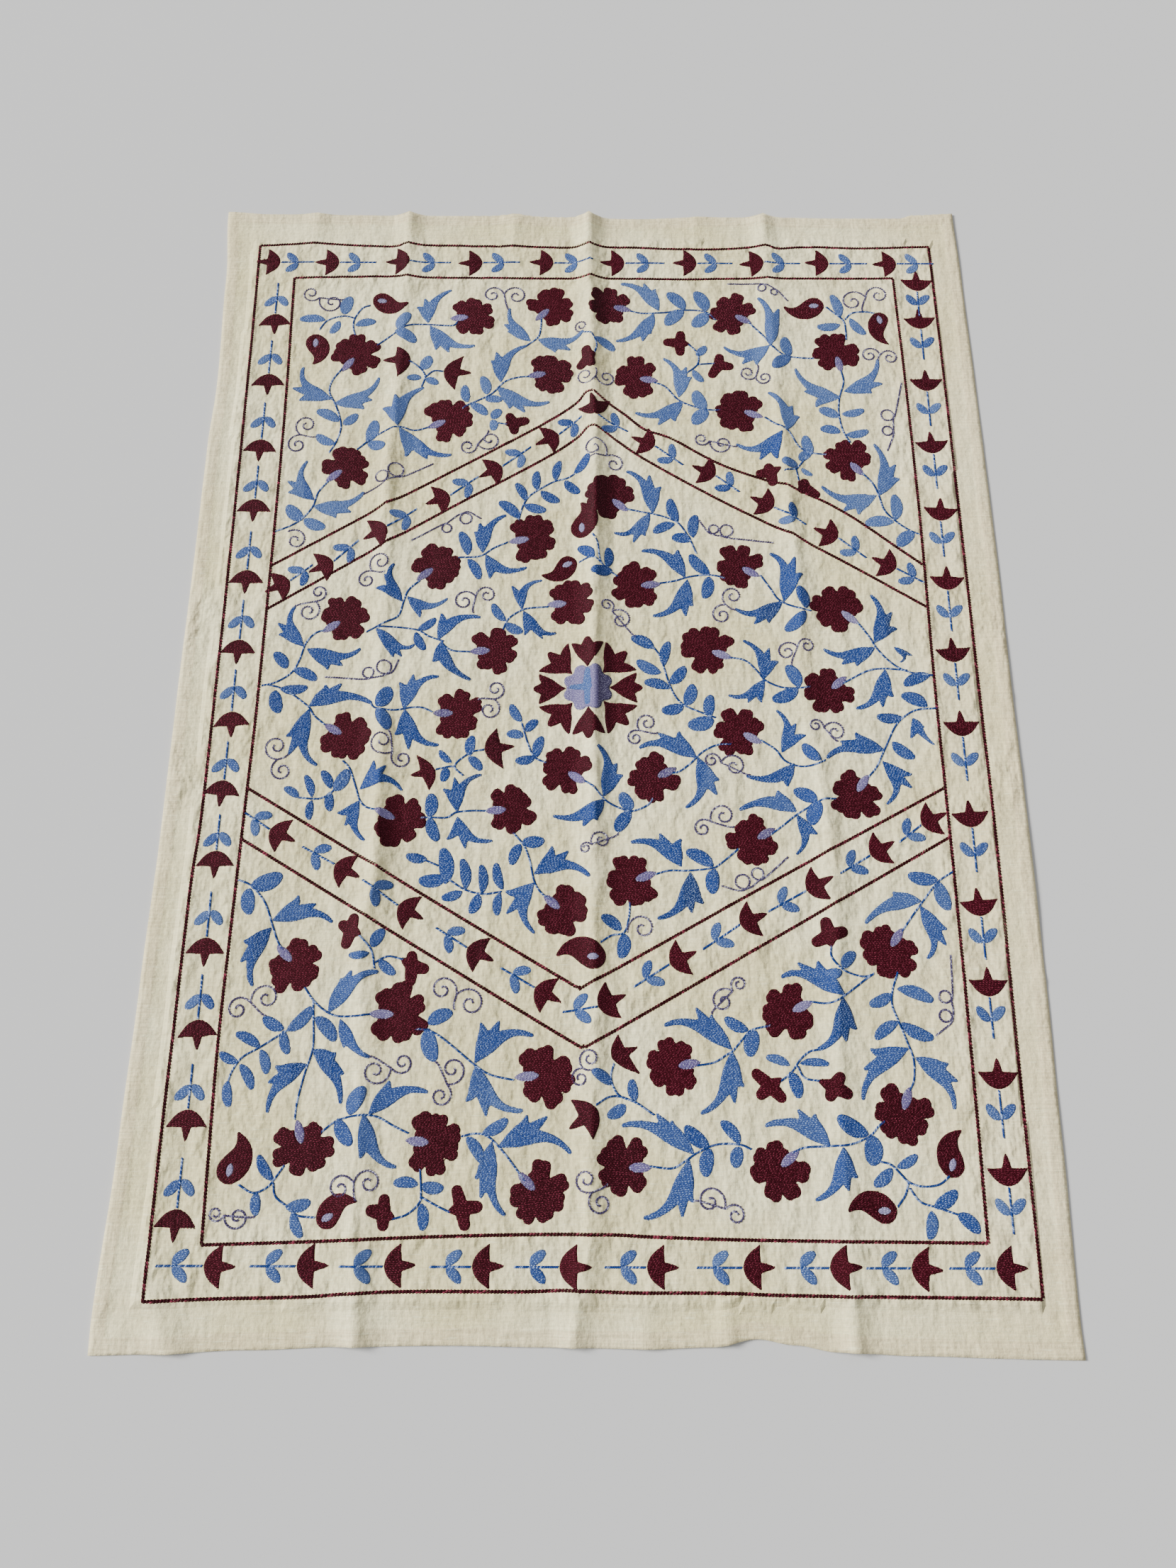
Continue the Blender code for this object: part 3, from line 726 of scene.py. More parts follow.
class Recipe:
    """A material's nodes, added one by one to a Principled shader."""

    def __init__(self, name, roughness, specular=0.25, sheen=0.0, sheen_tint=(1.0, 1.0, 1.0, 1.0)):
        self.material = bpy.data.materials.new(name)
        self.material.use_nodes = True
        self.tree = self.material.node_tree
        self.shader = self.tree.nodes["Principled BSDF"]
        self.shader.inputs["Roughness"].default_value = roughness
        self.shader.inputs["Specular IOR Level"].default_value = specular
        self.shader.inputs["Sheen Weight"].default_value = sheen
        self.shader.inputs["Sheen Roughness"].default_value = 0.5
        self.shader.inputs["Sheen Tint"].default_value = sheen_tint

    def add(self, kind, settings=(), inputs=(), output=0):
        """Adds a node, sets its settings, then its sockets' values and links."""
        node = self.tree.nodes.new(kind)
        for name, value in dict(settings).items():
            if name == "stops":
                self.set_stops(node.color_ramp, value)
            else:
                setattr(node, name, value)
        for name, value in dict(inputs).items():
            self.connect(value, node.inputs[name])
        return Wire(self, node.outputs[output])

    def connect(self, value, socket):
        """Links a wire to a socket, or sets the socket to a value."""
        if isinstance(value, Wire):
            self.tree.links.new(value.socket, socket)
        else:
            socket.default_value = value

    @staticmethod
    def set_stops(ramp, stops):
        """Gives a colour ramp its stops, as place and colour."""
        while len(ramp.elements) < len(stops):
            ramp.elements.new(0.5)
        for element, (place, colour) in zip(ramp.elements, stops):
            element.position = place
            element.color = opaque(colour)

    def attribute(self, name, output="Fac"):
        """A value that is stored at the mesh's points."""
        return self.add("ShaderNodeAttribute", {"attribute_name": name}, {}, output)

    def stretched(self, scale):
        """Object coordinates stretched by a factor along each axis."""
        place = self.add("ShaderNodeTexCoord", {}, {}, "Object")
        return self.add("ShaderNodeMapping", {}, {"Vector": place, "Scale": scale})

    def noise(self, scale, detail=2.0, stretch=(1.0, 1.0, 1.0)):
        """Even noise from about 0 to 1."""
        inputs = {"Vector": self.stretched(stretch), "Scale": scale, "Detail": detail}
        return self.add("ShaderNodeTexNoise", {}, inputs)

    def between(self, value, low, high):
        """0 below low, 1 above high, and eased in between."""
        settings = {"interpolation_type": "SMOOTHSTEP"}
        return self.add("ShaderNodeMapRange", settings, {"Value": value, 1: low, 2: high})

    def mix(self, factor, first, second):
        """Two colours mixed."""
        first = first if isinstance(first, Wire) else opaque(first)
        second = second if isinstance(second, Wire) else opaque(second)
        return self.add("ShaderNodeMix", {"data_type": "RGBA"}, {0: factor, 6: first, 7: second}, 2)

    def shaded(self, colour, factor):
        """A colour made darker or lighter by a number."""
        return self.add("ShaderNodeVectorMath", {"operation": "SCALE"}, {0: colour, "Scale": factor})

    def finish(self, colour, height, distance, roughness=None):
        """Connects the colour, the bump and the roughness to the shader."""
        bump = self.add("ShaderNodeBump", {}, {"Height": height, "Distance": distance})
        self.connect(colour, self.shader.inputs["Base Color"])
        self.connect(bump, self.shader.inputs["Normal"])
        if roughness is not None:
            self.connect(roughness, self.shader.inputs["Roughness"])
        return self.material


def opaque(colour):
    """A colour with full alpha."""
    return (*tuple(colour)[:3], 1.0)


def tinted(colour, factor):
    """A colour made lighter or darker by a factor."""
    return tuple(min(channel * factor, 1.0) for channel in colour)


def toward(colour, other, share):
    """A colour part of the way to another."""
    return tuple(one * (1.0 - share) + two * share for one, two in zip(colour, other))


def cotton_material(cloth):
    """Unbleached cotton: uneven threads, pale and warm patches, puckers and yellow hems."""
    recipe = Recipe("natural_cotton", 0.92, sheen=0.12, sheen_tint=(1.0, 0.97, 0.9, 1.0))
    patches = recipe.between(recipe.noise(3.2, 3.0), 0.38, 0.62)
    colour = recipe.mix(patches, cloth.cotton, cloth.washed_cotton)
    soil = recipe.between(recipe.noise(14.0, 4.0), 0.50, 0.72)
    colour = recipe.mix(soil * 0.50, colour, toward(cloth.cotton, (0.50, 0.43, 0.26), 0.5))
    blotches = recipe.noise(1.0, 4.0, (210.0, 210.0, 30.0))
    colour = recipe.shaded(colour, 0.72 + 0.56 * blotches)
    place = recipe.add("ShaderNodeTexCoord", {}, {}, "Object")
    rightward = recipe.add("ShaderNodeSeparateXYZ", {}, {0: place}, 0)
    colour = recipe.mix(recipe.between(rightward, 0.40, 0.76) * 0.40, colour, cloth.hem_cotton)
    across = recipe.noise(1.0, 2.0, (120.0, 700.0, 30.0))
    along = recipe.noise(1.0, 2.0, (700.0, 120.0, 30.0))
    threads = across + along
    hem = recipe.attribute("double_cloth")
    colour = recipe.mix(hem * 0.75, colour, cloth.hem_cotton)
    ticks = recipe.noise(1.0, 1.0, (300.0, 14.0, 10.0)) + recipe.noise(1.0, 1.0, (14.0, 300.0, 10.0))
    colour = recipe.shaded(colour, 1.0 - (ticks - 0.8) * hem * 0.5)
    colour = recipe.shaded(colour, 0.70 + 0.30 * threads)
    slubs = recipe.between(recipe.noise(1.0, 1.0, (38.0, 420.0, 30.0)), 0.60, 0.70)
    colour = recipe.mix(slubs * 0.30, colour, tinted(cloth.washed_cotton, 1.15))
    pull = recipe.attribute("pull")
    puckers = recipe.noise(1.0, 2.0, (40.0, 24.0, 10.0)) * (0.45 + pull)
    fine = recipe.noise(1.0, 2.0, (120.0, 130.0, 10.0)) * 0.26
    height = puckers * 1.7 + fine + threads * 0.05 + slubs * 0.03
    return recipe.finish(colour, height, 0.0052)


def yarn_material(name, deep, main, light, painted_highlight, gloss):
    """Laid and couched yarn, with painted highlights, which show as pale flecks, and painted shade.

    The yarn attribute holds the dye, the stitch's tone, which sets how strong its painted highlight
    is, and its crest, by which the yarn is painted darker at its feet and lighter on top. The laid
    attribute holds the place along and across the rows, counted in stitches and rows.
    """
    recipe = Recipe(name, gloss, specular=0.10)
    yarn = recipe.attribute("yarn", "Color")
    dye, tone, crest = (
        recipe.add("ShaderNodeSeparateColor", {}, {0: yarn}, channel) for channel in range(3)
    )
    course = recipe.attribute("laid", "Vector")
    row = recipe.add("ShaderNodeSeparateXYZ", {}, {0: course}, 1)
    spread = {0: course, 1: (2.4, 2.6, 1.0)}
    scattered = recipe.add("ShaderNodeVectorMath", {"operation": "MULTIPLY"}, spread)
    # Painted glints: pale highlight specks scattered over the laid yarn and left off the couching
    # stitches.
    painted_glints = recipe.add("ShaderNodeTexNoise", {}, {"Vector": scattered, "Scale": 1.0, "Detail": 1.0})
    painted_glints = recipe.between(painted_glints, 0.54, 0.68) * (1.0 - recipe.between(tone, 0.36, 0.40))
    # groove is 0 between rows and 1 at each row's middle; in the colour it paints shade between the
    # rows.
    groove = recipe.add("ShaderNodeMath", {"operation": "PINGPONG"}, {0: row, 1: 0.5}) * 2.0
    stops = ((0.0, deep), (0.5, main), (1.0, light))
    ramp = recipe.add("ShaderNodeValToRGB", {"stops": stops}, {0: dye})
    fibres = recipe.noise(1.0, 2.0, (260.0, 1500.0, 300.0))
    # Painted shade: darker at the stitches' feet and between the rows, with uneven fibres on top.
    shade = (0.34 + 0.30 * crest + 0.20 * groove) * (0.70 + 0.60 * fibres)
    # Painted highlight on the crests, stronger for stitches with a higher tone.
    lift = recipe.between(tone, 0.36, 0.85) * crest
    colour = recipe.shaded(ramp, shade * (1.0 + 0.8 * lift))
    # The painted highlight and the painted glints mix the colour towards the highlight colour.
    colour = recipe.mix(lift * 0.68 + painted_glints * 0.36, colour, painted_highlight)
    worn = recipe.noise(40.0, 3.0)
    rough = gloss - 0.10 + worn * 0.2
    return recipe.finish(colour, groove * 0.8 + fibres * 0.6, 0.0007, rough)


def burgundy_material(yarn):
    """The yarn of the flowers, buds, tulips and ruled lines."""
    # The pale colour (0.33, 0.050, 0.095) is the painted highlight.
    return yarn_material(
        "burgundy_yarn", tinted(yarn.burgundy, 0.35), yarn.burgundy, tinted(yarn.burgundy, 1.5),
        (0.33, 0.050, 0.095), 0.58,
    )


def blue_material(yarn):
    """The yarn of the leaves and stems."""
    # The pale colour (0.50, 0.66, 0.93) is the painted highlight.
    return yarn_material(
        "blue_yarn", tinted(yarn.blue, 0.35), yarn.blue, toward(yarn.blue, (0.30, 0.46, 0.80), 0.36),
        (0.50, 0.66, 0.93), 0.56,
    )


def lilac_material(yarn):
    """The yarn of the calyxes, the scrolls and most of the rosette's centre."""
    # The pale colour (0.74, 0.74, 0.90) is the painted highlight.
    return yarn_material(
        "lilac_yarn", tinted(yarn.lilac, 0.4), yarn.lilac, toward(yarn.lilac, (0.7, 0.7, 0.9), 0.4),
        (0.74, 0.74, 0.90), 0.60,
    )


def eased(rows, column, at, key="y"):
    """A table's column at places along its key, eased from row to row."""
    rows = sorted(rows, key=lambda row: getattr(row, key))
    keys = np.array([getattr(row, key) for row in rows])
    values = np.array([getattr(row, column) for row in rows])
    at = np.clip(at, keys[0], keys[-1])
    low = np.clip(np.searchsorted(keys, at) - 1, 0, len(keys) - 2)
    share = (at - keys[low]) / (keys[low + 1] - keys[low])
    share = share * share * (3.0 - 2.0 * share)
    return values[low] * (1.0 - share) + values[low + 1] * share


def ridge(distance, half_width):
    """A fold's profile: 1 at its sharp crest, easing to 0 where the cloth is back on the floor."""
    return np.clip(1.0 - np.abs(distance) / half_width, 0.0, 1.0) ** RIDGE_SHARPNESS


def ripple_height(x, y, ripple):
    """How far a short ripple lifts the cloth."""
    along_x, along_y = ripple.x1 - ripple.x0, ripple.y1 - ripple.y0
    length = math.hypot(along_x, along_y)
    along = ((x - ripple.x0) * along_x + (y - ripple.y0) * along_y) / length
    aside = ((x - ripple.x0) * along_y - (y - ripple.y0) * along_x) / length
    share = np.clip(along / length, 0.0, 1.0)
    past_end = np.maximum(np.maximum(-along, along - length), 0.0)
    crest = ripple.height0 * (1.0 - share) + ripple.height1 * share
    return crest * ridge(aside, ripple.half_width) * ridge(past_end, ripple.half_width)


def fold_lift(x, y):
    """How far the folds lift the cloth's underside off the floor."""
    height = np.zeros_like(x)
    for crests in LONG_FOLDS.values():
        aside = x - eased(crests, "x", y)
        height = np.maximum(height, eased(crests, "height", y) * ridge(aside, LONG_FOLD_HALF_WIDTH))
    for ripple in RIPPLES:
        height = np.maximum(height, ripple_height(x, y, ripple))
    return height


def value_noise(x, y, cell_x, cell_y, seed):
    """Smooth noise from 0 to 1 on a lattice of cells."""
    columns, rows = int(2.0 / cell_x) + 2, int(2.6 / cell_y) + 2
    lattice = np.random.default_rng(seed).random((rows, columns))
    u, v = (x + 1.0) / cell_x, (y + 1.3) / cell_y
    column, row = np.floor(u).astype(int), np.floor(v).astype(int)
    u, v = u - column, v - row
    u, v = u * u * (3.0 - 2.0 * u), v * v * (3.0 - 2.0 * v)
    low = lattice[row, column] * (1.0 - u) + lattice[row, column + 1] * u
    high = lattice[row + 1, column] * (1.0 - u) + lattice[row + 1, column + 1] * u
    return low * (1.0 - v) + high * v


def bell(distance, width):
    """1 at no distance, falling off within the width."""
    return np.exp(-((distance / width) ** 2))


def stitch_pull(x, y):
    """How hard the stitching pulls at the cloth: 1 beside the ruled lines, less in the field."""
    side = np.minimum(np.abs(np.abs(x) - 0.588), np.abs(np.abs(x) - 0.660))
    end = np.minimum(np.abs(np.abs(y) - 0.880), np.abs(np.abs(y) - 0.957))
    inside = (np.abs(x) < 0.67) & (np.abs(y) < 0.97)
    lines = np.maximum(bell(side, 0.03), bell(end, 0.03)) * inside
    upper = 0.614 - 0.61 * np.abs(x)
    lower = -0.60 + 0.575 * np.abs(x)
    bands = np.maximum(bell(y - upper + 0.04, 0.06), bell(y - lower - 0.045, 0.06))
    return np.maximum(np.maximum(lines, bands * 0.9), 0.55 * inside)


def fine_lift(x, y):
    """Small swells, puckers, gathers at the hems and the creases across the cloth."""
    cloth = bpy.context.scene.suzani_cloth
    swell = np.clip(value_noise(x, y, 0.11, 0.19, SEED) - 0.45, 0.0, 1.0) * 1.8
    pucker = value_noise(x, y, 0.017, 0.05, SEED + 1) * value_noise(x, y, 0.09, 0.12, SEED + 2)
    height = cloth.swell * swell**1.5 + cloth.pucker * 2.0 * pucker * stitch_pull(x, y)
    top = CLOTH_LENGTH / 2 - eased(END_EDGES, "top_in", x, key="x") - y
    bottom = y + CLOTH_LENGTH / 2 - eased(END_EDGES, "bottom_in", x, key="x")
    wander = value_noise(x, y * 0.0, 0.05, 1.0, SEED + 3)
    gathers = 0.5 + 0.5 * np.sin(x * 360.0 + wander * 9.0)
    strength = value_noise(x, y * 0.0, 0.12, 1.0, SEED + 4)
    height = height + 0.0018 * gathers * strength * np.exp(-np.clip(top, 0.0, 1.0) / 0.022)
    height = height + 0.0016 * gathers * strength * np.exp(-np.clip(bottom, 0.0, 1.0) / 0.016)
    for place, crease in CROSS_CREASES:
        broken = value_noise(x, y, 0.14, 0.5, SEED + 5)
        height = height + crease * broken * bell(y - place, CROSS_CREASE_WIDTH)
    return height


def cloth_top(x, y):
    """The height of the cloth's upper side, in metres, for places in metres."""
    return fold_lift(x, y) + fine_lift(x, y) + CLOTH_THICKNESS


def steps_between(low, high, spacing):
    """Places from low up to high, not counting high, no further apart than the spacing."""
    count = max(1, math.ceil((high - low) / spacing - 1e-6))
    return [low + (high - low) * step / count for step in range(count)]


def row_shares():
    """Places of the rows along the cloth, from 0 at the lower end to 1 at the upper end."""
    hem, step = END_HEM_WIDTH / CLOTH_LENGTH, HEM_STEP / CLOTH_LENGTH
    fine, coarse = 0.006 / CLOTH_LENGTH, ROW_SPACING / CLOTH_LENGTH
    stops = ((0.0, fine), (hem, step), (hem + step, coarse), (1.0 - hem - step, step))
    stops += ((1.0 - hem, fine), (1.0, None))
    places = []
    for (low, spacing), (high, _) in zip(stops, stops[1:]):
        places += steps_between(low, high, spacing)
    return np.array([*places, 1.0])


def column_knots(y):
    """Where the columns' fixed places lie at each height: edges, hems, and feet and crests."""
    left = -CLOTH_WIDTH / 2 + eased(SIDE_EDGES, "left_in", y)
    right = CLOTH_WIDTH / 2 - eased(SIDE_EDGES, "right_in", y)
    knots = [left, left + SIDE_HEM_WIDTH, left + SIDE_HEM_WIDTH + HEM_STEP]
    for fold in LONG_FOLDS.values():
        crest = eased(fold, "x", y)
        knots += [crest - LONG_FOLD_HALF_WIDTH, crest, crest + LONG_FOLD_HALF_WIDTH]
    knots += [right - SIDE_HEM_WIDTH - HEM_STEP, right - SIDE_HEM_WIDTH, right]
    return np.array(knots)


def column_places(y):
    """Where every column crosses the rows at these heights, one row of the array for each y."""
    mean = column_knots(np.array([0.0]))[:, 0]
    fixed = []
    for low, high in zip(mean, mean[1:]):
        fixed += steps_between(low, high, COLUMN_SPACING)
    fixed = np.array([*fixed, mean[-1]])
    knots = column_knots(y)
    return np.array([np.interp(fixed, mean, knots[:, row]) for row in range(len(y))])


def select_nothing():
    """Leaves edit mode and deselects every object."""
    if bpy.context.object and bpy.context.object.mode != "OBJECT":
        bpy.ops.object.mode_set(mode="OBJECT")
    bpy.ops.object.select_all(action="DESELECT")


def point_attribute(mesh, name, values):
    """Stores one number for each point of a mesh."""
    layer = mesh.attributes.new(name, "FLOAT", "POINT")
    layer.data.foreach_set("value", np.asarray(values, dtype=np.float32))


def make_ground_cloth():
    """The cotton: a grid shaped to the outline, folds and puckers, then given its thickness."""
    shares = row_shares()
    row_y = CLOTH_LENGTH * (shares - 0.5)
    x = column_places(row_y)
    rows, columns = x.shape
    select_nothing()
    bpy.ops.mesh.primitive_grid_add(x_subdivisions=columns - 1, y_subdivisions=rows - 1, size=1.0)
    cloth = bpy.context.object
    cloth.name = cloth.data.name = "cotton_ground"
    bottom = -CLOTH_LENGTH / 2 + eased(END_EDGES, "bottom_in", x, key="x")
    top = CLOTH_LENGTH / 2 - eased(END_EDGES, "top_in", x, key="x")
    y = bottom + (top - bottom) * shares[:, None]
    z = fold_lift(x, y) + fine_lift(x, y)
    cloth.data.vertices.foreach_set("co", np.stack([x, y, z], axis=2).ravel())

    from_side = np.minimum(x - x[:, :1], x[:, -1:] - x)
    from_end = np.minimum(y - bottom, top - y)
    doubled = (from_side < SIDE_HEM_WIDTH + 1e-5) | (from_end < END_HEM_WIDTH + 1e-5)
    point_attribute(cloth.data, "double_cloth", doubled.ravel())
    point_attribute(cloth.data, "pull", stitch_pull(x, y).ravel())
    group = cloth.vertex_groups.new(name="double_cloth")
    flat = doubled.ravel()
    group.add(np.flatnonzero(flat).tolist(), 1.0, "REPLACE")
    group.add(np.flatnonzero(~flat).tolist(), CLOTH_THICKNESS / HEM_THICKNESS, "REPLACE")
    body = cloth.modifiers.new("cloth_thickness", "SOLIDIFY")
    body.thickness = HEM_THICKNESS
    body.offset = 1.0
    body.vertex_group = group.name
    bpy.ops.object.modifier_apply(modifier=body.name)
    bpy.ops.object.shade_smooth()
    cloth.data.materials.append(cotton_material(bpy.context.scene.suzani_cloth))
    return cloth


# One stitch's place, in millimetres, its turn in radians, its sizes, its dye, and its tone, which sets
# how strong its painted highlight is.
Stitch = namedtuple("Stitch", "x y turn length width height dye tone")


def one_stitch():
    """Models one stitch, a low twisted grain with pointed ends, and returns its shape.

    It is one unit long, wide and high. The object is removed once its shape is read.
    """
    select_nothing()
    bpy.ops.mesh.primitive_cylinder_add(vertices=4, radius=0.5, depth=1.0, location=(0.0, 0.0, 0.5))
    grain = bpy.context.object
    bpy.ops.object.transform_apply(location=True, rotation=True, scale=True)
    for side in (-1, 1):
        bpy.ops.object.mode_set(mode="EDIT")
        bpy.ops.mesh.select_all(action="DESELECT")
        bpy.ops.object.mode_set(mode="OBJECT")
        for point in grain.data.vertices:
            point.select = point.co.z > 0.9 and (point.co.x + point.co.y) * side > 0.01
        bpy.ops.object.mode_set(mode="EDIT")
        bpy.ops.mesh.merge(type="CENTER")
    bpy.ops.mesh.select_all(action="SELECT")
    bpy.ops.mesh.quads_convert_to_tris()
    bpy.ops.mesh.normals_make_consistent(inside=False)
    bpy.ops.object.mode_set(mode="OBJECT")
    points = np.array([point.co[:] for point in grain.data.vertices])
    faces = np.array([face.vertices[:] for face in grain.data.polygons])
    bpy.data.objects.remove(grain)
    return points, faces


def joined(name, points, faces, yarn, laid, material, slot):
    """Makes one piece of many triangles, with its colours and the course of its rows."""
    corners = faces.reshape(-1)
    mesh = bpy.data.meshes.new(name)
    mesh.vertices.add(len(points))
    mesh.vertices.foreach_set("co", points.ravel())
    mesh.loops.add(len(corners))
    mesh.loops.foreach_set("vertex_index", corners)
    mesh.polygons.add(len(faces))
    mesh.polygons.foreach_set("loop_start", np.arange(0, len(corners), 3))
    mesh.update(calc_edges=True)
    mesh.shade_smooth()
    colour = mesh.color_attributes.new("yarn", "FLOAT_COLOR", "POINT")
    yarn = np.concatenate([yarn, np.ones((len(yarn), 1))], axis=1)
    colour.data.foreach_set("color", yarn.astype(np.float32).ravel())
    rows = mesh.attributes.new("laid", "FLOAT_VECTOR", "POINT")
    laid = np.concatenate([laid, np.zeros((len(laid), 1))], axis=1)
    rows.data.foreach_set("vector", laid.astype(np.float32).ravel())
    chart = mesh.uv_layers.new(name="OFBake")
    flat = points[corners, :2] / (CLOTH_WIDTH, CLOTH_LENGTH) + 0.5
    chart.uv.foreach_set("vector", flat.astype(np.float32).ravel())
    piece = bpy.data.objects.new(name, mesh)
    bpy.context.scene.collection.objects.link(piece)
    mesh.materials.append(material)
    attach(piece, "root")
    return piece


def sewn(name, stitches, material, slot):
    """Joins copies of one stitch, each in its place on the cloth, into one piece."""
    shape, faces = one_stitch()
    table = np.array(stitches)
    x, y, turn, length, width, height, dye, tone = table.T[:, :, None]
    rng = np.random.default_rng(SEED + len(table))
    turn = turn + rng.normal(0.0, 0.05, turn.shape)
    # Each stitch's painted highlight varies at random.
    tone = np.clip(tone + rng.normal(0.0, 0.24, tone.shape), 0.0, 1.0)
    height = height * rng.uniform(0.85, 1.15, height.shape)
    u, v = shape[:, 0] * length, shape[:, 1] * width
    at_x = (x + u * np.cos(turn) - v * np.sin(turn)) * MM
    at_y = (y + u * np.sin(turn) + v * np.cos(turn)) * MM
    at_z = cloth_top(at_x, at_y) + (shape[:, 2] * (height + SUNK) - SUNK) * MM
    points = np.stack([at_x, at_y, at_z], axis=2).reshape(-1, 3)
    count = len(table)
    triangles = (faces[None] + (np.arange(count) * len(shape))[:, None, None]).reshape(-1, 3)
    # Painted shade and highlight: each stitch's colour is darker at its feet and lighter at its top.
    crest = np.broadcast_to(0.35 + 0.65 * shape[:, 2], at_x.shape)
    dyes, tones = (np.broadcast_to(part, at_x.shape) for part in (dye, tone))
    yarn = np.stack([dyes, tones, crest], axis=2).reshape(-1, 3)
    return joined(name, points, triangles, yarn, np.full((len(points), 2), 0.5), material, slot)


def depth_inside(x, y, circles):
    """How far each point lies inside a shape made of circles; less than 0 is outside."""
    depth = np.full(x.shape, -1e3)
    for circle_x, circle_y, radius in circles:
        np.maximum(depth, radius - np.hypot(x - circle_x, y - circle_y), out=depth)
    return depth


def filled(outline, cut):
    """Triangles that fill a shape made of circles and follow its edge: points, depths, faces."""
    spacing = PATCH_SPACING
    reach = outline[:, 2:] + spacing
    low, high = (outline[:, :2] - reach).min(axis=0), (outline[:, :2] + reach).max(axis=0)
    columns, rows = (np.arange(start, end + spacing, spacing) for start, end in zip(low, high))
    x, y = np.meshgrid(columns, rows)
    depth = depth_inside(x, y, outline)
    if cut is not None:
        depth = np.minimum(depth, CUT_OVERLAP - depth_inside(x, y, cut))
    ids = np.arange(x.size).reshape(x.shape)
    x, y, depth = x.ravel(), y.ravel(), depth.ravel()
    first, second, third, fourth = ids[:-1, :-1], ids[:-1, 1:], ids[1:, 1:], ids[1:, :-1]
    halves = ((first, second, third), (first, third, fourth))
    corners = np.concatenate([np.stack(half, axis=-1).reshape(-1, 3) for half in halves])
    inside = depth[corners] > 0.0
    number = inside.sum(axis=1)
    size = len(x)

    def crossing(one, other):
        """The name of the point where the shape's edge crosses between two grid points."""
        return size + np.minimum(one, other) * size + np.maximum(one, other)

    pieces = [corners[number == 3]]
    for wanted, alone in ((1, True), (2, False)):
        chosen = number == wanted
        odd_one = np.argmax(inside[chosen] == alone, axis=1)
        order = (odd_one[:, None] + np.arange(3)) % 3
        p, q, r = np.take_along_axis(corners[chosen], order, axis=1).T
        if alone:
            pieces.append(np.stack([p, crossing(p, q), crossing(p, r)], axis=1))
        else:
            pieces.append(np.stack([crossing(p, q), q, r], axis=1))
            pieces.append(np.stack([crossing(p, q), r, crossing(p, r)], axis=1))
    names, faces = np.unique(np.concatenate(pieces), return_inverse=True)
    faces = faces.reshape(-1, 3)
    on_edge = names >= size
    one = np.where(on_edge, (names - size) // size, names)
    other = np.where(on_edge, (names - size) % size, names)
    change = np.where(on_edge, depth[one] - depth[other], 1.0)
    share = np.where(on_edge, depth[one] / change, 0.0)
    place = np.stack([grid[one] * (1 - share) + grid[other] * share for grid in (x, y)], axis=1)
    return place, np.where(on_edge, 0.0, depth[one]), faces


def stroke(points, radii):
    """A tapering stroke: circles, as x, y and radius, close together along a line of points."""
    points = np.array(points, dtype=float)
    lengths = np.concatenate([[0.0], np.cumsum(np.hypot(*np.diff(points, axis=0).T))])
    at = np.linspace(0.0, lengths[-1], max(2, math.ceil(lengths[-1] / 1.2)))
    x, y = (np.interp(at, lengths, column) for column in points.T)
    share = np.linspace(0.0, 1.0, len(radii))
    return np.stack([x, y, np.interp(at / lengths[-1], share, radii)], axis=1)


def bowed(start, end, bow, count=14):
    """Points along a gentle arc, bowed to the left of its way by a distance."""
    start, end = np.array(start, dtype=float), np.array(end, dtype=float)
    along = end - start
    aside = np.array([-along[1], along[0]]) / max(np.hypot(*along), 1e-6)
    middle = (start + end) / 2 + aside * bow * 2.0
    return curved(start, middle, end, count)


def curved(start, middle, end, count=14):
    """Points along a curve that leaves start towards middle and comes to end from it."""
    share = np.linspace(0.0, 1.0, count)[:, None]
    start, middle, end = (np.array(point, dtype=float) for point in (start, middle, end))
    return start * (1 - share) ** 2 + middle * 2 * share * (1 - share) + end * share**2


def polar(centre, degrees, distance):
    """The point at a direction and distance from a centre."""
    turn = math.radians(degrees)
    return (centre[0] + distance * math.cos(turn), centre[1] + distance * math.sin(turn))


def heading(start, end):
    """The direction from one point to another, in degrees."""
    return math.degrees(math.atan2(end[1] - start[1], end[0] - start[0]))


def drawn_back(tip, start, distance):
    """The tip moved back towards where its stroke starts."""
    length = max(math.hypot(tip[0] - start[0], tip[1] - start[1]), 1e-6)
    share = min(distance / length, 0.9)
    return (tip[0] + (start[0] - tip[0]) * share, tip[1] + (start[1] - tip[1]) * share)


def flower_outline(flower, rng):
    """Six paddle-shaped petals, each a little different; the calyx has the seventh place."""
    centre, radius = (flower.x, flower.y), flower.radius
    circles = [np.array([[*centre, radius * 0.57]])]
    for petal in range(1, 7):
        turn = flower.stem + petal * 360.0 / 7 + rng.normal(0.0, 4.0)
        reach = radius * rng.uniform(0.95, 1.12)
        round_end = radius * rng.uniform(0.18, 0.25)
        foot = polar(centre, turn, radius * 0.2)
        for side in (-1, 1):
            spread, stretch = rng.uniform(5.0, 11.5), rng.uniform(0.90, 1.02)
            tip = polar(centre, turn + side * spread, reach * stretch - round_end)
            circles.append(stroke((foot, tip), (radius * 0.22, radius * 0.24, round_end)))
    for side in (-1, 1):
        shoulder = polar(centre, flower.stem + side * 26.0, radius * 0.48)
        circles.append(np.array([[*shoulder, radius * 0.23]]))
    return np.concatenate(circles)


def calyx_outline(flower):
    """The lens where the stem runs into the flower."""
    centre = (flower.x, flower.y)
    rim = polar(centre, flower.stem, flower.radius * 0.92)
    heart = polar(centre, flower.stem, flower.radius * 0.22)
    return stroke((rim, heart), (1.5, 6.0, 8.0, 7.5, 4.0))


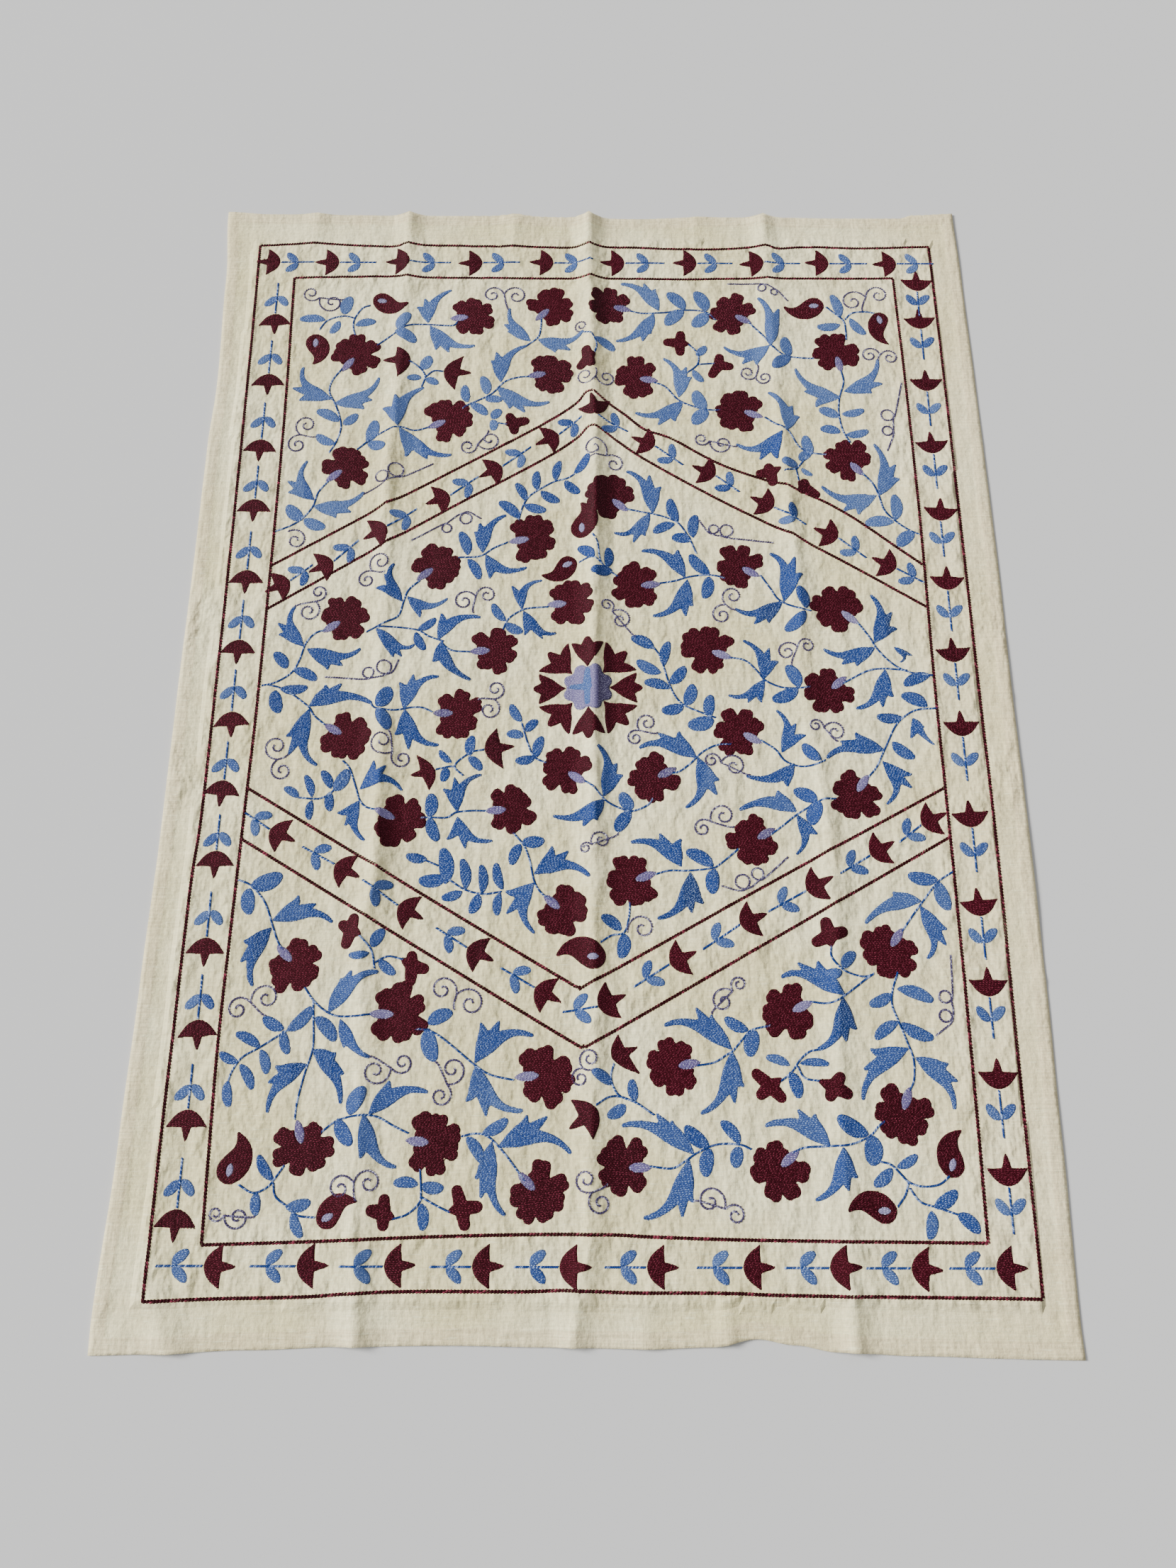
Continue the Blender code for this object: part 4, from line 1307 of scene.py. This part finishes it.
def oval_outline(leaf, bow):
    """A leaf with a pointed base and a round tip."""
    base = (leaf.x, leaf.y)
    tip = drawn_back((leaf.tip_x, leaf.tip_y), base, leaf.width * 0.26)
    length = math.hypot(tip[0] - base[0], tip[1] - base[1])
    shares = (0.07, 0.26, 0.40, 0.48, 0.50, 0.48, 0.42, 0.30)
    return stroke(bowed(base, tip, bow * length), [leaf.width * share for share in shares])


def lobed_outline(base, tip, *lobes):
    """A leaf that fans out from its base into a long curled tip and shorter pointed lobes."""
    base, tip = np.array(base, dtype=float), np.array(tip, dtype=float)
    lobes = [np.array(lobe, dtype=float) for lobe in lobes]
    middle = (base + tip) / 2
    bulge = sum(lobes) / len(lobes) - middle
    length = np.hypot(*(tip - base))
    girth = min(max(length * 0.122, 5.0), 11.5)
    sides = (base, middle + bulge * 0.60, tip - (tip - base) * 0.20 + bulge * 0.42, tip - bulge * 0.04)
    share = np.linspace(0.0, 1.0, 24)[:, None]
    weights = ((1 - share) ** 3, 3 * share * (1 - share) ** 2, 3 * share**2 * (1 - share), share**3)
    spine = sum(weight * side for weight, side in zip(weights, sides))
    shares = (0.15, 0.52, 0.86, 1.06, 1.06, 0.92, 0.74, 0.58, 0.48, 0.42, 0.30)
    circles = [stroke(spine, [girth * share for share in shares])]
    for lobe in lobes:
        half_way = (base + lobe) / 2
        bend = half_way + (middle + bulge * 0.5 - half_way) * 0.55
        path = curved(base, bend, drawn_back(lobe, bend, 2.4))
        shares = (0.14, 0.50, 0.80, 0.92, 0.84, 0.58, 0.24)
        circles.append(stroke(path, [girth * share for share in shares]))
    return np.concatenate(circles)


def tulip_outline(base, first, middle, last):
    """A cup with three points: two outer petals that flare, and a shorter one between them."""
    base = np.array(base, dtype=float)
    reach = np.array(middle, dtype=float) - base
    size = np.hypot(*reach) / 48.0
    heart = base + reach * 0.27
    circles = []
    for tip in (first, last):
        tip = np.array(tip, dtype=float)
        shoulder = (heart + tip) / 2 + (base - heart) * 0.24
        radii = [size * radius for radius in (13.0, 12.4, 10.0, 6.8, 3.8, 1.2)]
        circles.append(stroke(curved(heart, shoulder, drawn_back(tip, heart, 1.3)), radii))
    radii = [size * radius for radius in (11.5, 9.0, 6.6, 4.6, 1.6)]
    circles.append(stroke((heart, drawn_back(middle, heart, 1.5)), radii))
    return np.concatenate(circles)


def bud_outline(base, *tips):
    """A rounded bud with three plump lobes."""
    base = np.array(base, dtype=float)
    heart = base * 0.35 + sum(np.array(tip, dtype=float) for tip in tips) / len(tips) * 0.65
    circles = [stroke((base, heart), (3.0, 8.0, 11.0))]
    for tip in tips:
        circles.append(stroke((heart, drawn_back(tip, heart, 8.5)), (11.0, 10.5, 9.0)))
    return np.concatenate(circles)


def paisley_outline(paisley):
    """A round head that runs out into a curled tail."""
    head, tip = (paisley.x, paisley.y), (paisley.tip_x, paisley.tip_y)
    length = math.hypot(tip[0] - head[0], tip[1] - head[1])
    tail = bowed(head, tip, -paisley.belly * length * 0.24)
    shares = (0.86, 0.92, 0.86, 0.74, 0.58, 0.42, 0.26, 0.10)
    return stroke(tail, [paisley.radius * share for share in shares])


def paisley_eye(paisley):
    """The pale lens in a paisley's head."""
    head, tip = (paisley.x, paisley.y), (paisley.tip_x, paisley.tip_y)
    turn = heading(head, tip)
    return stroke((polar(head, turn + 180, 7.0), polar(head, turn, 9.0)), (3.0, 6.0, 5.5, 2.0))


def chords(circles, row):
    """The spans that a row covers inside a shape made of circles."""
    reach = circles[:, 2] ** 2 - (circles[:, 1] - row) ** 2
    inside = reach > 0.0
    half = np.sqrt(reach[inside])
    middle = circles[inside, 0]
    spans = []
    for start, end in sorted(zip(middle - half, middle + half)):
        if spans and start <= spans[-1][1]:
            spans[-1][1] = max(spans[-1][1], end)
        else:
            spans.append([start, end])
    return spans


def clear_of(spans, holes):
    """What is left of the spans outside the holes."""
    for hole_start, hole_end in holes:
        left = []
        for start, end in spans:
            if start < hole_start:
                left.append([start, min(end, hole_start)])
            if end > hole_end:
                left.append([max(start, hole_end), end])
        spans = left
    return spans


def turned(circles, angle):
    """Circles turned about the origin."""
    x, y, radius = circles.T
    cos, sin = math.cos(angle), math.sin(angle)
    return np.stack([x * cos - y * sin, x * sin + y * cos, radius], axis=1)


class Embroidery:
    """Gathers the laid yarn and its couching stitches for like motifs, then makes both pieces."""

    def __init__(self, rng):
        self.rng = rng
        self.patches = []
        self.stitches = []

    def lay(self, outline, dye, cut=None, slope=None, second_dye_and_shade=None, change_at=None):
        """Fills an outline with rows of laid yarn, held by slanting stitches set like bricks.

        slope is the rows' slope in degrees. cut is an outline to leave free. With a second dye,
        the rows change colour partway along the shape, at change_at if that is given; in the rosette
        the second colour is partly painted shade.
        """
        yarn = bpy.context.scene.suzani_yarn
        pitch, length = yarn.row_pitch / MM, yarn.stitch_length / MM
        angle = math.radians(self.rng.normal(0.0, 4.5) if slope is None else slope)
        slant = math.radians(self.rng.choice((-COUCHING_SLANT, COUCHING_SLANT)))
        shape = turned(outline, -angle)
        hole = turned(cut, -angle) if cut is not None else np.zeros((0, 3))
        low, high = (shape[:, 1] - shape[:, 2]).min(), (shape[:, 1] + shape[:, 2]).max()
        left, right = (shape[:, 0] - shape[:, 2]).min(), (shape[:, 0] + shape[:, 2]).max()
        change_at = self.rng.uniform(0.4, 0.6) if change_at is None else change_at
        change = left + (right - left) * change_at
        count = max(2, round((high - low) / pitch))
        gap = (high - low) / count
        cos, sin = math.cos(angle), math.sin(angle)

        place, depth, faces = filled(outline, cut)
        u = place[:, 0] * cos + place[:, 1] * sin
        v = place[:, 1] * cos - place[:, 0] * sin
        dyes = np.full(len(place), dye) if second_dye_and_shade is None else np.where(u > change, second_dye_and_shade, dye)
        rows = np.stack([u / length, (v - low) / gap], axis=1)
        self.patches.append((place, depth, faces, dyes, rows))

        for row in range(count):
            v = low + gap * (row + 0.5)
            for start, end in clear_of(chords(shape, v), chords(hole, v)):
                start, end = start + ROW_END, end - ROW_END
                first = start + length * (0.5 if row % 2 else 0.0) + self.rng.uniform(0.0, 0.8)
                for mark in np.arange(first - length, end, length):
                    near, far = max(mark, start), min(mark + length * COUCHING_LENGTH, end)
                    if far - near < SHORTEST_COUCHING:
                        continue
                    u = (near + far) / 2
                    own_dye = second_dye_and_shade if second_dye_and_shade is not None and u > change else dye
                    self.stitches.append(Stitch(
                        u * cos - v * sin, u * sin + v * cos, angle + slant, far - near,
                        gap * COUCHING_WIDTH, yarn.yarn_height / MM, own_dye, COUCHING_TONE,
                    ))

    def finish(self, name, material, slot):
        """Makes the laid yarn and the stitches that hold it."""
        sewn(f"{name}_couching", self.stitches, material, slot)
        beside = PATCH_SPACING * 0.55 * MM
        places, faces, yarns, rows = [], [], [], []
        start = 0
        for place, depth, triangles, dyes, course in self.patches:
            x, y = place.T * MM
            rise = np.sqrt(np.clip(depth / LAID_EDGE, 0.0, 1.0))
            # The highest of three places, so that the yarn also clears the crest of a fold.
            surface = np.max([cloth_top(x + step, y) for step in (-beside, 0.0, beside)], axis=0)
            z = surface + (LAID_HEIGHT * rise - LAID_TUCK * (rise < 0.05)) * MM
            places.append(np.stack([x, y, z], axis=1))
            faces.append(triangles + start)
            # The rise is also the crest, so the laid yarn is painted darker towards a motif's edges.
            tone = np.full(len(place), LAID_TONE)
            yarns.append(np.stack([dyes, tone, rise], axis=1))
            rows.append(course)
            start += len(place)
        parts = (np.concatenate(part) for part in (places, faces, yarns, rows))
        joined(f"{name}_laid_yarn", *parts, material, slot)


def smooth_path(points, spacing):
    """Even steps along a smooth curve through the points."""
    points = np.array(points, dtype=float)
    padded = np.concatenate([[2 * points[0] - points[1]], points, [2 * points[-1] - points[-2]]])
    share = np.linspace(0.0, 1.0, 16, endpoint=False)[:, None]
    dense = []
    for before, start, end, after in zip(padded, padded[1:], padded[2:], padded[3:]):
        dense.append(0.5 * (
            2 * start + (end - before) * share
            + (2 * before - 5 * start + 4 * end - after) * share**2
            + (3 * start - before - 3 * end + after) * share**3
        ))
    dense = np.concatenate([*dense, points[-1:]])
    lengths = np.concatenate([[0.0], np.cumsum(np.hypot(*np.diff(dense, axis=0).T))])
    at = np.linspace(0.0, lengths[-1], max(2, round(lengths[-1] / spacing) + 1))
    return np.stack([np.interp(at, lengths, column) for column in dense.T], axis=1)


def chain_line(points, dye, width, step=5.0):
    """Chain stitch: each link is a pair of strands that open like a V."""
    path = smooth_path(points, step)
    stitches = []
    for (x0, y0), (x1, y1) in zip(path, path[1:]):
        turn = math.atan2(y1 - y0, x1 - x0)
        length = math.hypot(x1 - x0, y1 - y0)
        for side in (-1, 1):
            x = (x0 + x1) / 2 - math.sin(turn) * side * width * 0.23
            y = (y0 + y1) / 2 + math.cos(turn) * side * width * 0.23
            lean = turn + side * 0.16
            stitches.append(Stitch(x, y, lean, length * 1.75, width * 0.84, LINE_HEIGHT, dye, 0.34))
    return stitches


def stem_line(points, dye, width, step=2.7):
    """Stem stitch: slanting stitches that overlap along a line."""
    path = smooth_path(points, step)
    stitches = []
    for number, ((x0, y0), (x1, y1)) in enumerate(zip(path, path[1:])):
        turn = math.atan2(y1 - y0, x1 - x0)
        # Every other stitch has a stronger painted highlight.
        tone = 0.52 if number % 2 else 0.30
        place = ((x0 + x1) / 2, (y0 + y1) / 2)
        stitches.append(Stitch(*place, turn + 0.34, step * 2.5, width, LINE_HEIGHT, dye, tone))
    return stitches


def volute(fork, middle, way):
    """A path that leaves the fork along a way, in degrees, and curls up round a middle."""
    ahead = math.radians(way)
    offset = (middle[0] - fork[0], middle[1] - fork[1])
    side = 1.0 if math.cos(ahead) * offset[1] - math.sin(ahead) * offset[0] > 0 else -1.0
    start, reach, reach_end = heading(middle, fork), math.hypot(*offset), 4.2
    path = []
    for step in range(19):
        share = step / 18
        radius = reach + (reach_end - reach) * share**0.75
        path.append(polar(middle, start + side * 500.0 * share, radius))
    return path


def scroll_lines(stalk, *middles):
    """The lines of a scroll: its stalk and one or two volutes that curl away from it."""
    if len(middles) == 1:
        way = heading(stalk, middles[0]) + 60.0
        return [volute(stalk, middles[0], way)]
    centre = ((middles[0][0] + middles[1][0]) / 2, (middles[0][1] + middles[1][1]) / 2)
    way = heading(stalk, centre)
    fork = polar(centre, way, 4.0)
    stem = [stalk, polar(stalk, way + 14.0, 9.0), fork]
    return [stem, *(volute(fork, middle, way) for middle in middles)]


def tendril_line(start, loops, end):
    """A curly line that runs once round each of its loops on the way."""
    stops = [start, *((x, y) for x, y, _ in loops), end]
    path = [start]
    for number, (x, y, radius) in enumerate(loops, start=1):
        way = heading(stops[number - 1], stops[number + 1])
        turns = (-122, -60, 0, 60, 120, 180, 240, 302)
        reaches = (1.35, 1.0, 1.0, 1.0, 1.0, 1.0, 1.0, 1.35)
        path += [polar((x, y), way + turn, radius * share) for turn, share in zip(turns, reaches)]
    return [*path, end]


def tulip_tips(base, aim):
    """The three tips of a border tulip that points in a direction."""
    return polar(base, aim + 50.0, 42.0), polar(base, aim, 49.0), polar(base, aim - 50.0, 42.0)


def leaf_pair(join, aim):
    """Two leaves that lean from the stem towards the flower, on both sides."""
    leaves = []
    for side in (-1, 1):
        base = polar(join, aim + side * 45.0, 3.0)
        leaves.append(OvalLeaf(*base, *polar(join, aim + side * 42.0, 33.0), 17.0))
    return leaves


def border_tulips():
    """Each tulip of the border as its base, its aim, its leaves' joint and its stem's end."""
    units = []
    for base, join in TOP_BORDER:
        units.append(((base, TOP_BORDER_Y), 180.0, (join, TOP_BORDER_Y), (join + 30, TOP_BORDER_Y)))
    for base, join in BOTTOM_BORDER:
        units.append(
            ((base, BOTTOM_BORDER_Y), 0.0, (join, BOTTOM_BORDER_Y), (join - 22, BOTTOM_BORDER_Y))
        )
    for base, join in LEFT_BORDER:
        x = np.interp(base, (-900, 900), LEFT_BORDER_X[::-1])
        units.append(((x, base), 270.0, (x, join), (x, join + 30)))
    for base, join in RIGHT_BORDER:
        x = np.interp(base, (-900, 900), RIGHT_BORDER_X[::-1])
        units.append(((x, base), 90.0, (x, join), (x, join - 25)))
    return units


def band_tulips():
    """Each tulip of the two bands, in the border's form."""
    units = []
    for tulip in BAND_TULIPS:
        base, end = (tulip.x, tulip.y), (tulip.end_x, tulip.end_y)
        join = (base[0] * 0.3 + end[0] * 0.7, base[1] * 0.3 + end[1] * 0.7)
        units.append((base, tulip.aim, join, end))
    return units


def blue_dye(x, y, rng):
    """Which blue lies here: pale above the upper band, deep in the middle, softer below."""
    dye = 0.50
    if 0.61 * abs(x) > 614 - y:
        dye = 0.78
    elif y < 0.575 * abs(x) - 600:
        dye = 0.58
    return float(np.clip(dye + rng.normal(0.0, 0.05), 0.0, 1.0))


def make_flowers():
    """The flowers in burgundy, each with a lilac calyx."""
    rng = np.random.default_rng(SEED + 10)
    petals, calyxes = Embroidery(rng), Embroidery(rng)
    for flower in FLOWERS:
        calyx = calyx_outline(flower)
        petals.lay(flower_outline(flower, rng), 0.5 + rng.normal(0.0, 0.07), cut=calyx)
        calyxes.lay(calyx, 0.5 + rng.normal(0.0, 0.14))
    yarn = bpy.context.scene.suzani_yarn
    petals.finish("flower", burgundy_material(yarn), "burgundy_yarn")
    calyxes.finish("calyx", lilac_material(yarn), "lilac_yarn")


def make_lobed_leaves():
    """The lobed leaves; some change from one blue to another partway."""
    rng = np.random.default_rng(SEED + 20)
    leaves = Embroidery(rng)
    for leaf in LOBED_LEAVES:
        dye = blue_dye(*leaf[0], rng)
        second = None
        if rng.random() < 0.3:
            second = float(np.clip(dye + rng.choice((-0.2, -0.12, 0.14)), 0.0, 1.0))
        leaves.lay(lobed_outline(*leaf), dye, second_dye_and_shade=second)
    leaves.finish("lobed_leaf", blue_material(bpy.context.scene.suzani_yarn), "blue_yarn")


def make_oval_leaves():
    """The oval leaves of the field."""
    rng = np.random.default_rng(SEED + 30)
    leaves = Embroidery(rng)
    for leaf in OVAL_LEAVES:
        bow = rng.choice((-0.07, 0.07))
        leaves.lay(oval_outline(leaf, bow), blue_dye(leaf.x, leaf.y, rng))
    leaves.finish("oval_leaf", blue_material(bpy.context.scene.suzani_yarn), "blue_yarn")


def make_buds_and_paisleys():
    """The paisleys with their eyes, and the field's buds and tulips."""
    rng = np.random.default_rng(SEED + 40)
    buds, eyes = Embroidery(rng), Embroidery(rng)
    for paisley in PAISLEYS:
        eye = paisley_eye(paisley)
        buds.lay(paisley_outline(paisley), 0.5 + rng.normal(0.0, 0.07), cut=eye)
        eyes.lay(eye, 0.75)
    for bud in BUDS:
        buds.lay(bud_outline(*bud), 0.5 + rng.normal(0.0, 0.07))
    for tulip in FIELD_TULIPS:
        buds.lay(tulip_outline(*tulip), 0.5 + rng.normal(0.0, 0.07))
    yarn = bpy.context.scene.suzani_yarn
    buds.finish("bud", burgundy_material(yarn), "burgundy_yarn")
    eyes.finish("paisley_eye", lilac_material(yarn), "lilac_yarn")


def make_tulip_rows():
    """The tulips of the border and of the two bands, with their leaves and stems."""
    rng = np.random.default_rng(SEED + 50)
    yarn = bpy.context.scene.suzani_yarn
    width = yarn.line_width / MM
    for name, units, dye in (("border", border_tulips(), 0.72), ("band", band_tulips(), 0.66)):
        tulips, leaves, stems = Embroidery(rng), Embroidery(rng), []
        for base, aim, join, end in units:
            aim = aim + rng.normal(0.0, 2.5)
            tulips.lay(tulip_outline(base, *tulip_tips(base, aim)), 0.55 + rng.normal(0.0, 0.07))
            for leaf in leaf_pair(join, heading(join, base)):
                leaves.lay(oval_outline(leaf, 0.05), dye + rng.normal(0.0, 0.07))
            stems += stem_line((drawn_back(base, join, 1.0), join, end), dye - 0.2, width)
        tulips.finish(f"{name}_tulip", burgundy_material(yarn), "burgundy_yarn")
        leaves.finish(f"{name}_leaf", blue_material(yarn), "blue_yarn")
        sewn(f"{name}_stems", stems, blue_material(yarn), "blue_yarn")


def make_rosette():
    """The scalloped centre in lilac and blue, and its eight three-pointed rays."""
    rng = np.random.default_rng(SEED + 60)
    yarn = bpy.context.scene.suzani_yarn
    rays, lilac, blue = Embroidery(rng), Embroidery(rng), Embroidery(rng)
    scallops = [np.array([[*polar(ROSETTE, 22.5 + 45 * lobe, 33.0), 11.5]]) for lobe in range(8)]
    centre = np.concatenate([np.array([[*ROSETTE, 37.5]]), *scallops])
    for turn, spread, reach in ROSETTE_RAYS:
        base = polar(ROSETTE, turn, 38.0)
        tips = [polar(ROSETTE, turn + side * spread, reach + (0 if side else 5)) for side in (1, 0, -1)]
        rays.lay(ray_outline(base, *tips), 0.5 + rng.normal(0.0, 0.05), cut=centre)
    strip = stroke((polar(ROSETTE, 92, 31.0), polar(ROSETTE, 268, 29.0)), (6.0, 8.5, 7.0, 6.0))
    strip = np.concatenate([strip, stroke((polar(ROSETTE, 176, 29.0), ROSETTE), (5.0, 7.0, 8.0))])
    gap = strip - (0.0, 0.0, 1.6)
    # The centre's right part is darker: partly a darker lilac yarn, partly painted shade from the centre
    # fold.
    lilac.lay(centre, 0.62, cut=gap, slope=0.0, second_dye_and_shade=0.05, change_at=0.70)
    blue.lay(strip, 0.74, slope=0.0)
    rays.finish("rosette_ray", burgundy_material(yarn), "burgundy_yarn")
    lilac.finish("rosette_lilac", lilac_material(yarn), "lilac_yarn")
    blue.finish("rosette_blue", blue_material(yarn), "blue_yarn")


def ray_outline(base, first, middle, last):
    """A fan that opens from a point into two pointed corners and a rounded lobe between them."""
    axis = polar(base, heading(base, middle), 27.0)
    circles = [stroke((base, drawn_back(middle, base, 5.5)), (1.2, 5.2, 10.0, 13.5, 10.5, 6.0))]
    for tip in (first, last):
        path = curved(base, axis, drawn_back(tip, axis, 1.5))
        circles.append(stroke(path, (1.2, 4.8, 8.4, 10.4, 9.4, 6.0, 1.5)))
    return np.concatenate(circles)


def make_lines():
    """The ruled lines, the stems, and the scrolls and tendrils."""
    yarn = bpy.context.scene.suzani_yarn
    width = yarn.line_width / MM
    ruled, stems, curls = [], [], []
    for line in FRAME_LINES:
        ruled += chain_line(line, 0.50, width * 1.08)
    for line in STEMS:
        stems += stem_line(line, 0.42, width * 0.92)
    for scroll in SCROLLS:
        for line in scroll_lines(*scroll):
            curls += chain_line(line, 0.10, width * 0.70, 4.4)
    for tendril in TENDRILS:
        curls += chain_line(tendril_line(*tendril), 0.10, width * 0.70, 4.4)
    sewn("ruled_lines", ruled, burgundy_material(yarn), "burgundy_yarn")
    sewn("stems", stems, blue_material(yarn), "blue_yarn")
    sewn("scrolls", curls, lilac_material(yarn), "lilac_yarn")


def make_stage():
    """A plain floor, a soft light from the left, even light all round, and the camera."""
    stage = bpy.context.scene.suzani_stage
    select_nothing()
    bpy.ops.mesh.primitive_plane_add(size=30.0, location=(0.0, 0.0, 0.0))
    floor = bpy.context.object
    floor.name = "floor"
    recipe = Recipe("plain_floor", 0.9)
    recipe.shader.inputs["Base Color"].default_value = opaque(stage.floor)
    floor.data.materials.append(recipe.material)

    bpy.ops.object.light_add(type="SUN", location=(-3.2, 0.7, 1.85))
    key = bpy.context.object
    key.name = "key_light"
    key.data.angle = math.radians(22.0)
    key.data.energy = stage.key_power
    key.data.color = (1.0, 0.99, 0.97)
    aim = Vector((0.0, 0.0, 0.0)) - key.location
    key.rotation_euler = aim.to_track_quat("-Z", "Y").to_euler()

    world = bpy.data.worlds.new("even_light")
    world.use_nodes = True
    background = world.node_tree.nodes["Background"]
    background.inputs["Color"].default_value = (0.96, 0.98, 1.0, 1.0)
    background.inputs["Strength"].default_value = stage.fill_strength
    bpy.context.scene.world = world

    bpy.ops.object.camera_add(location=(-0.0024, -0.7799, 1.8894))
    camera = bpy.context.object
    camera.name = "camera"
    camera.data.lens = 27.05
    camera.data.sensor_width = 36.0
    camera.data.sensor_fit = "AUTO"
    camera.data.clip_end = 60.0
    look = Vector((-0.00094, 0.31097, -0.95042))
    camera.rotation_euler = look.to_track_quat("-Z", "Y").to_euler()
    bpy.context.scene.camera = camera


class SUZANI_OT_ground_cloth(bpy.types.Operator):
    """Lay out the hemmed cotton cloth with its folds."""

    bl_idname = "suzani.ground_cloth"
    bl_label = "Ground cloth"

    def execute(self, context):
        make_ground_cloth()
        return {"FINISHED"}


class SUZANI_OT_flowers(bpy.types.Operator):
    """Sew the flowers and their calyxes."""

    bl_idname = "suzani.flowers"
    bl_label = "Flowers"

    def execute(self, context):
        make_flowers()
        return {"FINISHED"}


class SUZANI_OT_lobed_leaves(bpy.types.Operator):
    """Sew the lobed leaves."""

    bl_idname = "suzani.lobed_leaves"
    bl_label = "Lobed leaves"

    def execute(self, context):
        make_lobed_leaves()
        return {"FINISHED"}


class SUZANI_OT_oval_leaves(bpy.types.Operator):
    """Sew the oval leaves."""

    bl_idname = "suzani.oval_leaves"
    bl_label = "Oval leaves"

    def execute(self, context):
        make_oval_leaves()
        return {"FINISHED"}


class SUZANI_OT_buds(bpy.types.Operator):
    """Sew the paisleys, the buds and the tulips of the field."""

    bl_idname = "suzani.buds"
    bl_label = "Buds and paisleys"

    def execute(self, context):
        make_buds_and_paisleys()
        return {"FINISHED"}


class SUZANI_OT_tulip_rows(bpy.types.Operator):
    """Sew the rows of tulips in the border and in the two bands."""

    bl_idname = "suzani.tulip_rows"
    bl_label = "Tulip rows"

    def execute(self, context):
        make_tulip_rows()
        return {"FINISHED"}


class SUZANI_OT_rosette(bpy.types.Operator):
    """Sew the rosette in the middle."""

    bl_idname = "suzani.rosette"
    bl_label = "Rosette"

    def execute(self, context):
        make_rosette()
        return {"FINISHED"}


class SUZANI_OT_lines(bpy.types.Operator):
    """Sew the ruled lines, the stems, the scrolls and the tendrils."""

    bl_idname = "suzani.lines"
    bl_label = "Lines, stems and scrolls"

    def execute(self, context):
        make_lines()
        return {"FINISHED"}


class SUZANI_OT_stage(bpy.types.Operator):
    """Set up the floor, the light and the camera."""

    bl_idname = "suzani.stage"
    bl_label = "Stage"

    def execute(self, context):
        make_stage()
        return {"FINISHED"}


class SUZANI_PT_maker(bpy.types.Panel):
    """Lists the suzani's settings and pieces in the 3D view's sidebar."""

    bl_idname = "SUZANI_PT_maker"
    bl_label = "Suzani"
    bl_space_type = "VIEW_3D"
    bl_region_type = "UI"
    bl_category = "Suzani"

    def draw(self, context):
        for group in (context.scene.suzani_cloth, context.scene.suzani_yarn, context.scene.suzani_stage):
            box = self.layout.box()
            for name in group.__annotations__:
                box.prop(group, name)
        for operator in OPERATORS:
            self.layout.operator(operator.bl_idname)


OPERATORS = (
    SUZANI_OT_ground_cloth,
    SUZANI_OT_flowers,
    SUZANI_OT_lobed_leaves,
    SUZANI_OT_oval_leaves,
    SUZANI_OT_buds,
    SUZANI_OT_tulip_rows,
    SUZANI_OT_rosette,
    SUZANI_OT_lines,
    SUZANI_OT_stage,
)
CLASSES = (ClothSettings, YarnSettings, StageSettings, *OPERATORS, SUZANI_PT_maker)


def register():
    """Registers the settings, the operators and the panel."""
    for cls in CLASSES:
        bpy.utils.register_class(cls)
    bpy.types.Scene.suzani_cloth = PointerProperty(type=ClothSettings)
    bpy.types.Scene.suzani_yarn = PointerProperty(type=YarnSettings)
    bpy.types.Scene.suzani_stage = PointerProperty(type=StageSettings)


def unregister():
    """Takes everything out again that register put in."""
    del bpy.types.Scene.suzani_stage
    del bpy.types.Scene.suzani_yarn
    del bpy.types.Scene.suzani_cloth
    for cls in reversed(CLASSES):
        bpy.utils.unregister_class(cls)


def main():
    register()
    bpy.ops.suzani.ground_cloth()
    bpy.ops.suzani.flowers()
    bpy.ops.suzani.lobed_leaves()
    bpy.ops.suzani.oval_leaves()
    bpy.ops.suzani.buds()
    bpy.ops.suzani.tulip_rows()
    bpy.ops.suzani.rosette()
    bpy.ops.suzani.lines()
    bpy.ops.suzani.stage()

    cloth = bpy.data.objects["cotton_ground"]
    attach(cloth, "root")
    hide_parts("ground_cloth")
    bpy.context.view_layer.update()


if __name__ == "__main__":
    main()
